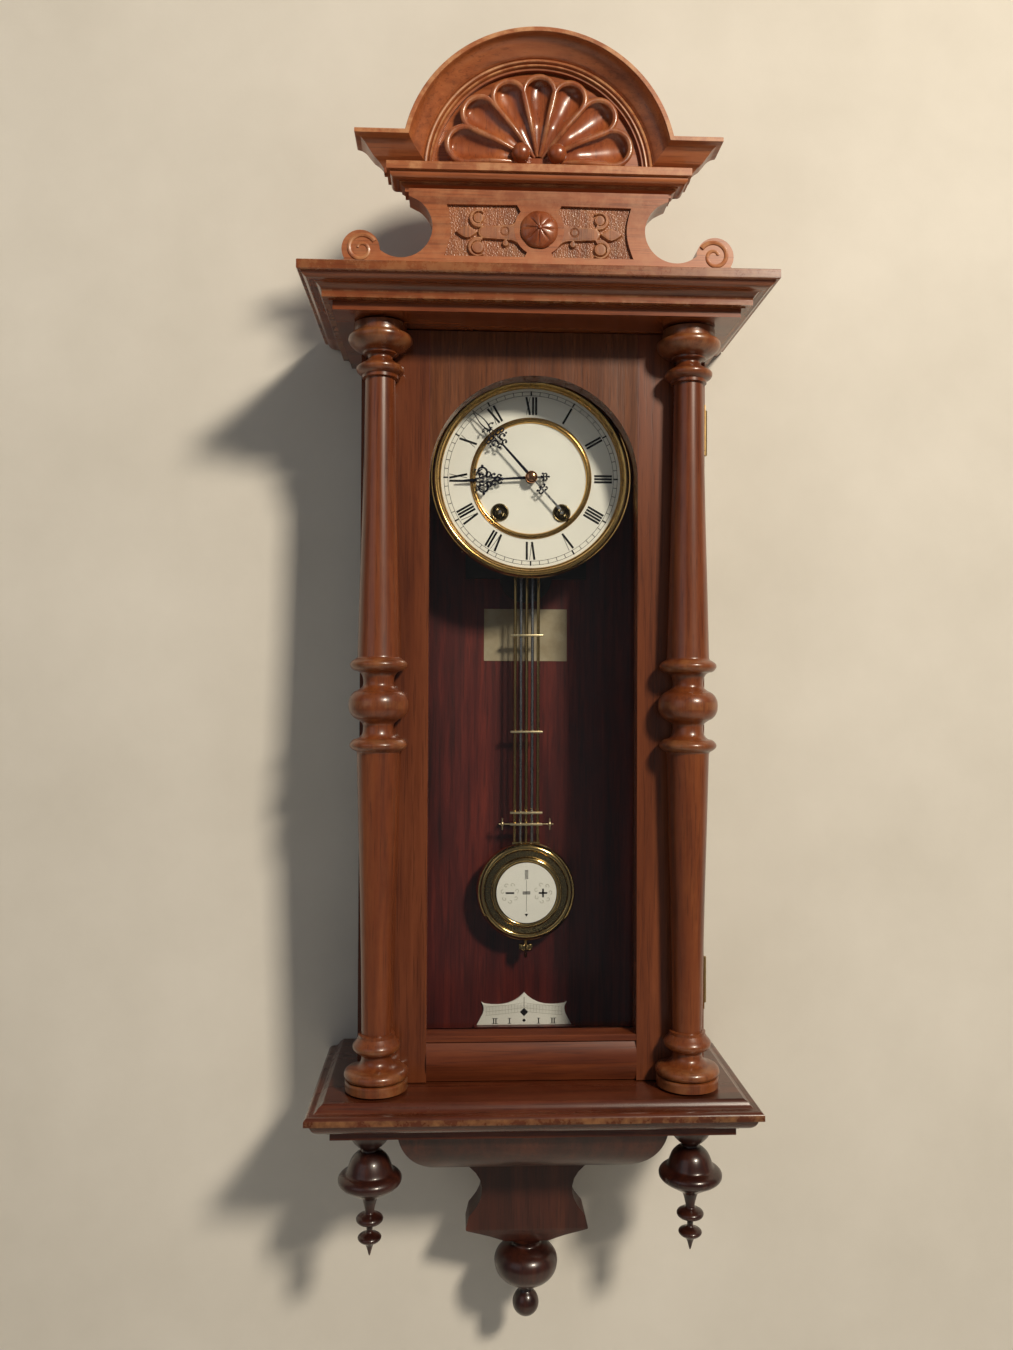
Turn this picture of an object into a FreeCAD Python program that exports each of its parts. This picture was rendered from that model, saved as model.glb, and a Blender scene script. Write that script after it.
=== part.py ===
import FreeCAD, Part

import math
import os
import re

import Sketcher

# Pendulum wall clock. Millimetres, +Z up, +X to the viewer's right. The back lies in the plane
# Y = 0, the front faces -Y, and the origin is the middle of the hole in the hanger plate.

DRIVING = {
    # case
    "case_half": 150, "side_thick": 14, "case_depth": 98, "back_thick": 12,
    "case_top": -49, "case_bottom": -697,
    # cornice and base
    "cornice_half": 195, "cornice_depth": 193, "slab_top": -18, "slab_thick": 8,
    "base_half": 187, "base_depth": 178, "plinth_bottom": -729,
    "wall_gap": 2.5,
    # door
    "door_half": 149, "door_front": 122, "door_back": 99, "door_gap": 1,
    "opening_half": 90.5, "arch_height": -178, "rebate": 4, "rebate_depth": 5,
    "ledge_top": -657, "ledge_drop": 8, "cushion_bulge": 6, "pane_thick": 2,
    # columns
    "column_x": 132, "column_y": 134.4, "column_middle": -373, "column_half": 322,
    "head_drum": 22.5, "foot_drum": 27,
    # crest
    "crest_front": 180, "crest_back": 150, "board_front": 172, "arch_centre": 69,
    "arch_outer": 113, "arch_inner": 87, "ear_half": 151, "ear_top": 95,
    "board_half": 107, "foot_half": 177, "waist_half": 87.5, "fascia_half": 125,
    "shell_up": 68, "shell_side": 77, "shell_rise": 10.5, "boss_height": 18,
    # bracket
    "apron_half": 113, "apron_front": 150, "apron_bottom": -770, "neck_half": 41,
    "neck_front": 70, "neck_back": 40, "block_half": 55.5, "block_bottom": -848,
    "cap_bottom": -861.5,
    "drop_x": 138, "drop_y": 120, "drop_brim": 27.3, "drop_ball": 28.9, "centre_drop_y": 54,
    # dial and movement
    "dial_height": -169, "bezel_outer": 90.3, "bezel_inner": 81, "dial_plane": 82,
    "bezel_front": 88, "ring_outer": 55, "ring_inner": 51, "plate_half": 62,
    "front_plate": 72, "back_plate": 40, "plate_thick": 2.5,
    "winding_x": 28, "winding_drop": 31, "collet": 7.9,
    # pendulum
    "pivot_height": -116, "pendulum_y": 33, "bob_height": -549.5, "bob_radius": 46.5,
    "bob_disc": 28.3, "rod_radius": 2.1, "rod_pitch": 5.4, "bar_half": 15.4,
    # hanger
    "hanger_half": 14, "hanger_thick": 2, "hanger_hole": 5,
    # door hinge
    "hinge_x": 153.5, "hinge_y": 98.5, "knuckle": 3, "hinge_pin": 1.5,
}
RUN = 0.05          # radial running clearance of a shaft in its hole
MODULE = 2 / 3      # tooth module of the great and second wheels

doc = FreeCAD.newDocument("wall_clock")
sheet = doc.addObject("Spreadsheet::Sheet", "dims")
for row, (alias, size) in enumerate(DRIVING.items(), start=1):
    sheet.set(f"A{row}", alias.replace("_", " "))
    sheet.set(f"B{row}", str(size))
    sheet.setAlias(f"B{row}", alias)
doc.recompute()

Vector = FreeCAD.Vector
parts = []


# ---------------------------------------------------------------- helpers

def bound(text):
    """An expression in which each driving dimension is read from the sheet."""
    names = "|".join(sorted(DRIVING, key=len, reverse=True))
    return re.sub(rf"\b({names})\b", r"dims.\1", str(text))


def value(text):
    """The number that an expression of driving dimensions gives now."""
    if isinstance(text, (int, float)):
        return float(text)
    return float(sheet.evalExpression(bound(text)))


def bind(obj, **sizes):
    """Bind properties of an object to expressions of driving dimensions."""
    for name, text in sizes.items():
        obj.setExpression(name, bound(text))


def new_body(label):
    body = doc.addObject("PartDesign::Body", label)
    body.Label = label
    parts.append(body)
    return body


def new_sketch(body, name, plane):
    sketch = body.newObject("Sketcher::SketchObject", f"{body.Name}_{name}")
    origin = next(f for f in body.Origin.OriginFeatures if f.Role == plane)
    sketch.AttachmentSupport = (origin, [""])
    sketch.MapMode = "FlatFace"
    return sketch


def arc_through(start, end, bulge):
    """An arc from start to end whose middle stands bulge to the right of the chord."""
    chord = end - start
    side = Vector(chord.y, -chord.x, 0).normalize()
    return Part.Arc(start, (start + end) / 2 + side * bulge, end)


def outline(sketch, points, offset=(0, 0)):
    """A closed outline. Each point is (x, y) or (x, y, bulge of the edge that leaves it), and a
    coordinate given as text is bound to the sheet."""
    spots = [Vector(value(p[0]), value(p[1]), 0) for p in points]
    first = len(sketch.Geometry)
    for i, point in enumerate(points):
        start, end = spots[i], spots[(i + 1) % len(points)]
        bulge = point[2] if len(point) > 2 else 0
        sketch.addGeometry(arc_through(start, end, bulge) if bulge else Part.LineSegment(start, end))
    for i, point in enumerate(points):
        if len(point) > 2 and point[2]:
            continue
        for axis, kind in ((0, "DistanceX"), (1, "DistanceY")):
            if isinstance(point[axis], str):
                spot = spots[i][axis]
                line = first + i
                index = sketch.addConstraint(Sketcher.Constraint(kind, -1, 1, line, 1, spot))
                sketch.setExpression(f"Constraints[{index}]", bound(point[axis]))


def pad(body, sketch, length, name="pad"):
    feature = body.newObject("PartDesign::Pad", f"{body.Name}_{name}")
    feature.Profile = sketch
    bind(feature, Length=length)
    return feature


def pocket_across(body, sketch, name="pocket"):
    """Cut a sketch through the whole body, both ways from its plane."""
    feature = body.newObject("PartDesign::Pocket", f"{body.Name}_{name}")
    feature.Profile = sketch
    feature.Type = 1
    feature.Midplane = True
    return feature


def revolve(body, sketch, axis="V_Axis", angle=360):
    feature = body.newObject("PartDesign::Revolution", f"{body.Name}_turn")
    feature.Profile = sketch
    feature.ReferenceAxis = (sketch, [axis])
    feature.Angle = angle
    return feature


def place(obj, x=0, y=0, z=0):
    """Bind an object's position to expressions."""
    obj.setExpression(".Placement.Base.x", bound(x))
    obj.setExpression(".Placement.Base.y", bound(y))
    obj.setExpression(".Placement.Base.z", bound(z))


def turned(label, profile, x=0, y=0, z=0):
    """A piece turned about a vertical axis; profile is an (r, z) outline that meets the axis."""
    body = new_body(label)
    sketch = new_sketch(body, "profile", "XZ_Plane")
    outline(sketch, profile)
    revolve(body, sketch)
    place(body, x, y, z)
    return body


def faced(label, profile, x=0, z=0):
    """A piece turned about a front-to-back axis; profile is an (r, y) outline."""
    body = new_body(label)
    sketch = new_sketch(body, "profile", "XY_Plane")
    outline(sketch, profile)
    revolve(body, sketch)
    place(body, x, 0, z)
    return body


def block(label, x_range, y_range, z_range):
    """A plain board between two expressions on each axis."""
    board = doc.addObject("Part::Box", label)
    board.Label = label
    bind(board, Length=f"{x_range[1]} - ({x_range[0]})", Width=f"{y_range[1]} - ({y_range[0]})",
         Height=f"{z_range[1]} - ({z_range[0]})")
    place(board, x_range[0], y_range[0], z_range[0])
    return board


def rod(label, radius, y_front, y_back, x=0, z=0):
    """A round bar that lies front to back; y values are depths in front of the wall."""
    bar = doc.addObject("Part::Cylinder", label)
    bar.Label = label
    bind(bar, Radius=radius, Height=f"({y_front}) - ({y_back})")
    bar.Placement = FreeCAD.Placement(Vector(0, 0, 0), FreeCAD.Rotation(Vector(1, 0, 0), 90))
    place(bar, x, f"-({y_back})", z)
    return bar


def glued(label, pieces):
    """One solid made of pieces that are glued up into it."""
    for piece in pieces:
        parts.remove(piece)
    whole = doc.addObject("Part::MultiFuse", label)
    whole.Label = label
    whole.Shapes = pieces
    parts.append(whole)
    return whole


def matched(label, pieces):
    """Matching pieces, left and right, that stay separate solids in one node."""
    for piece in pieces:
        parts.remove(piece)
    both = doc.addObject("Part::Compound", label)
    both.Label = label
    both.Links = pieces
    parts.append(both)
    return both


def cut(label, base, tool):
    result = doc.addObject("Part::Cut", label)
    result.Label = label
    result.Base = base
    result.Tool = tool
    parts.append(result)
    return result


def keep(obj):
    parts.append(obj)
    return obj


def group(label, solids, position=(0, 0, 0)):
    """One or more solids that share one node, in a Part::Feature at its own place."""
    feature = doc.addObject("Part::Feature", label)
    feature.Label = label
    feature.Shape = solids[0] if len(solids) == 1 else Part.makeCompound(solids)
    feature.Placement = FreeCAD.Placement(Vector(*position), FreeCAD.Rotation())
    parts.append(feature)
    return feature


def bar_y(radius, x, z, y_front, y_back):
    """A round solid that lies front to back between two depths in front of the wall."""
    return Part.makeCylinder(radius, y_front - y_back, Vector(x, -y_front, z), Vector(0, 1, 0))


def box(x0, x1, y0, y1, z0, z1):
    return Part.makeBox(x1 - x0, y1 - y0, z1 - z0, Vector(x0, y0, z0))


# ---------------------------------------------------------------- mouldings

def moulded(label, half, depth, front_profile, side_profile, back="wall_gap"):
    """A board moulded on its front and both ends with mitred corners. A profile is a list of
    (reach, z[, bulge]) from the top down; reach is text or a number."""
    body = new_body(label)
    sketch = new_sketch(body, "front", "XZ_Plane")
    right = [(f"{p[0]}", p[1], *p[2:]) for p in front_profile]
    left = []
    for i in range(len(front_profile) - 1, -1, -1):
        point = front_profile[i]
        bulge = front_profile[i - 1][2] if i > 0 and len(front_profile[i - 1]) > 2 else 0
        left.append((f"-({point[0]})", point[1], bulge))
    outline(sketch, right + left)
    pad(body, sketch, depth)
    waste = new_sketch(body, "side", "YZ_Plane")
    edge = [(f"-({p[0]})", p[1]) for p in side_profile]
    bulges = [-(p[2]) if len(p) > 2 else 0 for p in side_profile]
    points = [(e[0], e[1], b) for e, b in zip(edge, bulges[:-1] + [0])]
    top, low = value(side_profile[0][1]), value(side_profile[-1][1])
    out = -value(depth) - 10
    outline(waste, points + [(points[-1][0], low - 5), (out, low - 5), (out, top + 5),
                             (points[0][0], top + 5)])
    pocket_across(body, waste)
    slot = new_sketch(body, "wall_side", "YZ_Plane")
    outline(slot, [(f"-({back})", top + 5), (10, top + 5), (10, low - 5), (f"-({back})", low - 5)])
    if value(back) > 0:
        pocket_across(body, slot, "wall_cut")
    return body


def stepped(reach, steps):
    """Turn (inset, z, bulge) steps into a moulding profile under a greatest reach."""
    return [(f"{reach} - {s[0]}", *s[1:]) for s in steps]


def make_cornice():
    slab = new_body("cornice_top_slab")
    sketch = new_sketch(slab, "plan", "XY_Plane")
    outline(sketch, [("-cornice_half", "-cornice_depth"), ("cornice_half", "-cornice_depth"),
                     ("cornice_half", "-wall_gap"), ("-cornice_half", "-wall_gap")])
    pad(slab, sketch, "slab_thick")
    place(slab, z="slab_top - slab_thick")
    steps = [(3, "slab_top - slab_thick", 1.3), (10, -31, -1.8), (18, -36.5), (18, -37.5),
             (18, -41.5), (23, -41.5), (23, -42.5), (26, -42.5), (26, "case_top")]
    moulded("cornice_moulding", "cornice_half", "cornice_depth",
            stepped("cornice_half", steps), stepped("cornice_depth", steps))


def make_base():
    top = [(14, "case_bottom"), (10.5, -699.5, -0.9), (5.5, -703.5, 1), (0, -706.5), (0, -711)]
    board = moulded("base_board", "base_half", "base_depth",
                    stepped("base_half", top), stepped("base_depth", top), "0")
    low = [(4, -711, 3.5), (17, -721), (17, -723), (19, -723), (19, "plinth_bottom")]
    plinth = moulded("base_plinth", "base_half", "base_depth",
                     stepped("base_half", low), stepped("base_depth", low), "0")
    glued("base_moulding", [board, plinth])


def make_bracket():
    """The apron with its rounded lower edge, then the sawn neck board and the cap below it."""
    front = [("apron_half", "plinth_bottom"), ("apron_half - 0.5", -733, -6),
             ("apron_half - 32", "apron_bottom")]
    side = [("apron_front", "plinth_bottom"), ("apron_front - 0.5", -733, -6),
            ("apron_front - 34", "apron_bottom")]
    moulded("bracket_apron", "apron_half", "apron_front", front, side, "0")
    neck_front = [("neck_half + 31", "apron_bottom"), ("neck_half + 31", -779, 5),
                  ("neck_half", -811, 1.5), ("block_half - 3", -836), ("block_half", "block_bottom")]
    neck_side = [("neck_front", z) for _, z, *_ in neck_front]
    neck = moulded("bracket_neck", "apron_half", "neck_front", neck_front, neck_side, "neck_back")
    cap_front = [("block_half", "block_bottom"), ("block_half - 15", -852.5),
                 ("block_half - 27", -858), ("block_half - 35", "cap_bottom")]
    cap_side = [("neck_front", "block_bottom"), ("neck_front - 2", -852.5),
                ("neck_front - 4", -858), ("neck_front - 6", "cap_bottom")]
    cap = moulded("bracket_cap", "block_half", "neck_front", cap_front, cap_side, "neck_back")
    glued("bracket_console", [neck, cap])


# ---------------------------------------------------------------- case and door

def make_case():
    board = block("back_blank", ("-case_half + side_thick", "case_half - side_thick"),
                  ("-back_thick", "0"), ("case_bottom", "case_top"))
    slot = block("hanger_slot", ("-hanger_half - 0.5", "hanger_half + 0.5"),
                 ("-hanger_thick", "1"), (-91, "case_top + 1"))
    cut("back_board", board, slot)
    frames = []
    for name, side in (("left", -1), ("right", 1)):
        body = new_body(f"{name}_side_frame")
        frames.append(body)
        sketch = new_sketch(body, "frame", "YZ_Plane")
        outline(sketch, [("-case_depth", "case_bottom"), (0, "case_bottom"), (0, "case_top"),
                         ("-case_depth", "case_top")])
        outline(sketch, [("-case_depth + 20", "case_bottom + 28"), (-24, "case_bottom + 28"),
                         (-24, "case_top - 40"), ("-case_depth + 20", "case_top - 40")])
        pad(body, sketch, "side_thick")
        place(body, x="case_half - side_thick" if side > 0 else "-case_half")
    matched("side_frames", frames)
    depth = value("case_depth")
    low, high = value("case_bottom + 28"), value("case_top - 40")
    middle = value("case_half - side_thick / 2")
    panes = [box(s * middle - 1, s * middle + 1, -depth + 20, -24, low, high) for s in (-1, 1)]
    group("side_glass_panes", panes)


def make_door():
    top, low = "case_top - door_gap", "case_bottom + door_gap"
    stiles = []
    for name, side in (("left", -1), ("right", 1)):
        inner, outer = f"{side} * opening_half", f"{side} * door_half"
        body = new_body(f"door_{name}_stile")
        stiles.append(body)
        sketch = new_sketch(body, "section", "XY_Plane")
        rebated = f"{side} * (opening_half + rebate)"
        inside = "-door_back - rebate_depth"
        ring = [(inner, "-door_front"), (outer, "-door_front"), (outer, "-door_back"),
                (rebated, "-door_back"), (rebated, inside), (inner, inside)]
        outline(sketch, ring)
        pad(body, sketch, f"({top}) - ({low})")
        place(body, z=low)
    matched("door_stiles", stiles)
    make_top_rail(top)
    make_bottom_rail(low)
    pane = block("door_glass", ("-opening_half - rebate + 0.2", "opening_half + rebate - 0.2"),
                 ("-door_back - rebate_depth", "-door_back - rebate_depth + pane_thick"),
                 ("ledge_top - rebate + 0.2", "arch_height + opening_half + rebate - 0.2"))
    keep(pane)
    make_beads()


def make_top_rail(top):
    body = new_body("door_top_rail")
    sketch = new_sketch(body, "face", "XZ_Plane")
    radius = value("opening_half")
    outline(sketch, [("-opening_half", "arch_height"), ("-opening_half", top),
                     ("opening_half", top), ("opening_half", "arch_height", radius)])
    pad(body, sketch, "door_front")
    trim = new_sketch(body, "back", "YZ_Plane")
    outline(trim, [("-door_back", 0), (5, 0), (5, "arch_height - 5"), ("-door_back", "arch_height - 5")])
    pocket_across(body, trim, "behind")
    seat = new_sketch(body, "seat", "YZ_Plane")
    outline(seat, [("-door_back - rebate_depth", "arch_height + opening_half + rebate"),
                   ("-door_back + 1", "arch_height + opening_half + rebate"),
                   ("-door_back + 1", "arch_height - 5"),
                   ("-door_back - rebate_depth", "arch_height - 5")])
    pocket_across(body, seat, "rebate")


def make_bottom_rail(low):
    body = new_body("door_bottom_rail")
    sketch = new_sketch(body, "section", "YZ_Plane")
    cushion = value("cushion_bulge")
    outline(sketch, [("-door_back", low), ("-door_back", "ledge_top - rebate"),
                     ("-door_back - rebate_depth", "ledge_top - rebate"),
                     ("-door_back - rebate_depth", "ledge_top"),
                     ("-door_front - 2", "ledge_top"), ("-door_front - 2", "ledge_top - ledge_drop"),
                     ("-door_front", "ledge_top - ledge_drop", -cushion), ("-door_front", low)])
    feature = pad(body, sketch, "2 * opening_half")
    feature.Midplane = True


def make_beads():
    """The strips that hold the door's glass in its rebate."""
    half, wide = value("opening_half"), value("rebate")
    back, depth = value("door_back"), value("rebate_depth") - value("pane_thick")
    low, high = value("ledge_top"), value("arch_height + opening_half")
    sides = [box(s * (half + wide / 2) - wide / 2, s * (half + wide / 2) + wide / 2,
                 -back - depth, -back, low - wide, high + wide) for s in (-1, 1)]
    ends = [box(-half, half, -back - depth, -back, z, z + wide) for z in (low - wide, high)]
    group("glazing_beads", sides + ends)


COLUMN_UPPER = [(25.3, 0), (24.9, 4), (23.2, 8), (21, 10.5), (18.3, 11.5), (18.3, 12.5),
                (13.5, 16.5), (12.8, 19), (13.6, 24), (15.5, 27), (18.2, 28.5), (21, 29.2),
                (22.9, 31), (24.2, 33.5), (23.4, 36), (21, 38), (18.4, 39), (18, 41), (16.4, 100),
                (14.7, 160), (13.4, 220), (12.6, 277), (15.2, 277.5), (15.2, 280), (19.2, 281),
                (20.4, 283), (20.4, 285), (17, 287.5), (12, 291), (10.6, 294.5), (14.8, 296.5),
                (14.8, 298.5), (19.5, 300.5), (24, 303.5), (26.8, 307), (27.3, 309.5),
                (26.4, 312), (24, 313.5)]


def make_columns():
    """Turned columns, alike above and below the middle but for the wider drum at the foot."""
    lower = [(radius, -height) for radius, height in reversed(COLUMN_UPPER[1:])]
    foot = [(0, "-column_half"), ("foot_drum", "-column_half"), ("foot_drum", -314.5)]
    head = [("head_drum", 314.5), ("head_drum", "column_half"), (0, "column_half")]
    for name, side in (("left", -1), ("right", 1)):
        body = new_body(f"{name}_column")
        sketch = new_sketch(body, "profile", "XZ_Plane")
        outline(sketch, foot + lower + COLUMN_UPPER + head)
        revolve(body, sketch)
        flat = new_sketch(body, "flat", "XY_Plane")
        outline(flat, [(-40, "column_y - door_front"), (40, "column_y - door_front"), (40, 60),
                       (-40, 60)])
        pocket_across(body, flat, "flat_back")
        place(body, f"{side} * column_x", "-column_y", "column_middle")


def make_door_hinges():
    """Two butt hinges on the right edge, with the pins fixed in the case leaves."""
    x, y = value("hinge_x"), -value("hinge_y")
    radius, pin = value("knuckle"), value("hinge_pin")
    wall, edge = value("case_half"), value("door_half")
    case_leaves, door_leaves, pins = [], [], []
    for centre in (-130, -616):
        spans = [(centre - 20, centre - 7), (centre + 7, centre + 20)]
        leaf = box(wall, wall + 1.5, y + 4, y + 22, centre - 20, centre + 20)
        for low, high in spans:
            leaf = leaf.fuse(Part.makeCylinder(radius, high - low, Vector(x, y, low)))
            leaf = leaf.fuse(box(wall, x, y + 0.2, y + 4, low, high))
        hole = Part.makeCylinder(pin, 42, Vector(x, y, centre - 21))
        case_leaves.append(leaf.cut(hole).removeSplitter())
        low, high = centre - 6.7, centre + 6.7
        door = box(edge, edge + 1.2, -value("door_front") + 2, y - 1, centre - 20, centre + 20)
        door = door.fuse(Part.makeCylinder(radius, high - low, Vector(x, y, low)))
        door = door.fuse(box(edge, x, y - 3, y - 0.6, low, high))
        hole = Part.makeCylinder(pin + RUN, 42, Vector(x, y, centre - 21))
        door_leaves.append(door.cut(hole).removeSplitter())
        pins.append(Part.makeCylinder(pin, 41, Vector(x, y, centre - 20.5)))
    group("case_hinge_leaves", case_leaves + pins)
    group("door_hinge_leaves", door_leaves)


# ---------------------------------------------------------------- crest

def make_frieze_board():
    """The sawn board under the arch: a waist between round bays, and a volute at each foot."""
    body = new_body("crest_frieze_board")
    sketch = new_sketch(body, "face", "XZ_Plane")
    right = [("foot_half", "slab_top"), ("foot_half", -14, -2), ("foot_half - 18", -9, 20),
             ("foot_half - 46.5", -1, -15), ("waist_half", 19, -2.9), ("board_half - 8", 40),
             ("board_half", 44), ("board_half", "arch_centre - 19")]
    left = []
    for i in range(len(right) - 1, -1, -1):
        bulge = right[i - 1][2] if i > 0 and len(right[i - 1]) > 2 else 0
        left.append((f"-({right[i][0]})", right[i][1], bulge))
    outline(sketch, right + left)
    feature = pad(body, sketch, "board_front")
    back = new_sketch(body, "back", "YZ_Plane")
    outline(back, [("-crest_back", 60), (10, 60), (10, -30), ("-crest_back", -30)])
    pocket_across(body, back, "back_cut")
    return feature


def make_crest():
    make_frieze_board()
    faced("crest_rosette", [(0, -172), (26, -172), (26, -175), (22.5, -175), (22.5, -173.5),
                            (16.5, -173.5), (14.5, -176), (9, -177.7), (0, -178)], z="boss_height")
    steps = [("fascia_half", "arch_centre"), ("fascia_half", "arch_centre - 6.5"),
             ("fascia_half - 3", "arch_centre - 6.5", 3), ("fascia_half - 14.5", "arch_centre - 16"),
             ("fascia_half - 14.5", "arch_centre - 19")]
    sides = [(p[0].replace("fascia_half", "crest_front"), *p[1:]) for p in steps]
    moulded("crest_entablature", "fascia_half", "crest_front", steps, sides, "crest_back")
    make_arch()
    make_shell()


CROWN = [(0, 0), (0, 4), (2, 5), (8, 8), (12.7, 13.4), (16.7, 18), (22.7, 21.4), (22.7, 26)]


def make_arch():
    """The arch moulding, mitred into the two ears that return from it. CROWN holds the
    moulding's insets and drops from its top front edge."""
    outer, inner = value("arch_outer"), value("arch_inner")
    front, back = value("crest_front"), value("crest_back")
    centre, half, top = value("arch_centre"), value("ear_half"), value("ear_top")
    section = [Vector(outer - drop, -front + inset, 0) for inset, drop in CROWN]
    section += [Vector(inner, -back, 0), Vector(outer, -back, 0)]
    face = Part.Face(Part.makePolygon(section + section[:1]))
    ring = face.revolve(Vector(0, 0, 0), Vector(0, 1, 0), -180)
    ring.translate(Vector(0, 0, centre))
    ears = crown_block(half, front, back, top)
    below = box(-outer - 1, outer + 1, -front - 1, -back + 1, centre - 1, top)
    disc = bar_y(outer, 0, centre, front + 10, back - 10)
    board = bar_y(inner + 0.5, 0, centre, back + 8, back)
    board = board.common(box(-inner - 1, inner + 1, -back - 9, -back, centre, centre + inner + 1))
    arch = ring.cut(below).fuse([ring.common(ears), ears.cut(disc), board])
    group("crest_arch_moulding", [arch.removeSplitter()])


def crown_block(half, front, back, top):
    """A block with the crown moulding on its front and both ends."""
    right = [Vector(half - inset, 0, top - drop) for inset, drop in CROWN]
    left = [Vector(-v.x, 0, v.z) for v in reversed(right)]
    face = Part.Face(Part.makePolygon(right + left + right[:1]))
    across = face.extrude(Vector(0, -front, 0))
    edge = [Vector(-half, inset - front, top - drop) for inset, drop in CROWN]
    corner = [Vector(-half, -back, edge[-1].z), Vector(-half, -back, top)]
    face = Part.Face(Part.makePolygon(edge + corner + edge[:1]))
    return across.common(face.extrude(Vector(2 * half, 0, 0)))


def make_shell():
    """The carved scallop shell in the arch, seven lobes about a hub."""
    centre = value("arch_centre + shell_rise")
    up, side = value("shell_up"), value("shell_side")
    front = value("crest_back") + 8
    lobes = 7
    rim = []
    for i in range(lobes + 1):
        angle = math.pi * i / lobes
        rim.append(Vector(side * math.cos(angle), -front, centre + up * math.sin(angle)))
    edges = []
    for start, end in zip(rim, rim[1:]):
        chord = end - start
        out = Vector(chord.z, 0, -chord.x).normalize() * chord.Length * 0.22
        edges.append(Part.Arc(start, (start + end) / 2 + out, end).toShape())
    edges.append(Part.LineSegment(rim[-1], rim[0]).toShape())
    plate = Part.Face(Part.Wire(edges)).extrude(Vector(0, -10, 0))
    for i in range(lobes):
        angle = math.pi * (i + 0.5) / lobes
        reach = math.hypot(side * math.cos(angle), up * math.sin(angle))
        wide = reach * math.pi / lobes * 0.42
        groove = Part.makeCone(1, wide, reach * 1.02, Vector(0, 0, 0), Vector(1, 0, 0))
        groove.translate(Vector(6, 0, 0))
        groove.rotate(Vector(0, 0, 0), Vector(0, 1, 0), -math.degrees(angle))
        groove.translate(Vector(0, -front - 10 - wide * 0.35, centre))
        plate = plate.cut(groove)
    hub = bar_y(8, 0, centre + 7, front + 12, front)
    base = box(-side, side, -front - 8, -front, value("arch_centre"), centre)
    group("crest_shell", [plate.fuse([hub, base]).removeSplitter()])


# ---------------------------------------------------------------- drops and hanger

def make_drops():
    profile = [(0, 0), (19, 0), (18.5, -8), (15.4, -15), (7.4, -21.5), (7.4, -23.5), (11.8, -25),
               (15, -28.3), (18.4, -33.8), (20, -39.3), (21.5, -41), (24.7, -42.5),
               ("drop_brim", -46), ("drop_brim", -49.5), (25.8, -52.5), (20, -55.8), (12.5, -58),
               (10.9, -59.5), (10.7, -62), (9, -63.5), (6.4, -64.2), (5.2, -68), (3.9, -76),
               (6.7, -77), (10.3, -80), (11.5, -82.6), (10.3, -85), (4.7, -87), (2.5, -88.5),
               (2.5, -93.5), (6, -94.7), (9.3, -96.7), (10, -98.3), (8.6, -100.8), (3.2, -103.5),
               (2.8, -105), (0.6, -113.5), (0, -114)]
    drops = [turned(f"{name}_drop", profile, f"{side} * drop_x", "-drop_y", "plinth_bottom")
             for name, side in (("left", -1), ("right", 1))]
    matched("side_drop_finials", drops)
    profile = [(0, 0), (16, 0), (13, -3), (12.5, -6), (20, -8.5), (26, -13), ("drop_ball", -19.5),
               ("drop_ball", -23), (27.3, -29), (23, -35), (16, -39.5), (9.5, -42.5), (6.3, -45),
               (6, -47.5), (8.6, -50.5), (11, -54.5), (12, -59.5), (11, -64.5), (8.4, -68.5),
               (4.5, -71), (0, -72)]
    turned("centre_drop_finial", profile, 0, "-centre_drop_y", "cap_bottom")


def make_hanger():
    plate = block("hanger_blank", ("-hanger_half", "hanger_half"), ("-hanger_thick", "0"), (-90, 14))
    hole = rod("hanger_hole_tool", "hanger_hole", "hanger_thick + 1", -1)
    cut("hanger_plate", plate, hole)


# ---------------------------------------------------------------- dial

def make_dial():
    height = "dial_height"
    faced("dial_bezel", [("bezel_inner", -76), ("bezel_outer - 2", -76), ("bezel_outer", -79),
                         ("bezel_outer", -84, -0.6), ("bezel_outer - 3", "-bezel_front"),
                         ("bezel_outer - 6", "-bezel_front", 1.2), ("bezel_inner", "-dial_plane")],
          z=height)
    faced("dial_chapter_ring", [("ring_outer", -80), ("ring_outer", "-dial_plane"),
                                ("bezel_inner", "-dial_plane"), ("bezel_inner", -80)], z=height)
    bead = faced("dial_bead", [("ring_inner", -80), ("ring_outer", -80), ("ring_outer", -83.4, -0.9),
                              ("ring_inner", -83.4)], z=height)
    winding = [(s * value("winding_x"), -value("winding_drop")) for s in (-1, 1)]
    centre = value(height)
    disc = bar_y(value("ring_inner"), 0, centre, 81.2, 80)
    disc = disc.cut(bar_y(5, 0, centre, 90, 70))
    backing = bar_y(value("bezel_inner"), 0, centre, 80, 78.6).cut(bar_y(5, 0, centre, 90, 70))
    collets = []
    for x, z in winding:
        hole = bar_y(6.5, x, centre + z, 90, 70)
        disc, backing = disc.cut(hole), backing.cut(hole)
        ring = faced_ring(x, centre + z, value("collet"), 4.2)
        collets.append(ring)
    group("dial_centre_disc", [disc])
    plate_face = value("front_plate + plate_thick")
    feet = [bar_y(2.5, 50 * math.cos(a), centre + 50 * math.sin(a), 78.6, plate_face)
            for a in (math.radians(d) for d in (35, 145, 215, 325))]
    group("dial_back_plate", [backing.fuse(feet).removeSplitter()])
    collet_pair = group("winding_collets", collets)
    matched("dial_brass_trim", [bead, collet_pair])


def faced_ring(x, z, outer, inner):
    """An eyelet whose flange rests on the dial."""
    flange = bar_y(outer, x, z, 83, 81.2)
    sleeve = bar_y(6.5, x, z, 83, 77)
    return flange.fuse(sleeve).cut(bar_y(inner, x, z, 84, 70)).removeSplitter()


# ---------------------------------------------------------------- movement

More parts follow.
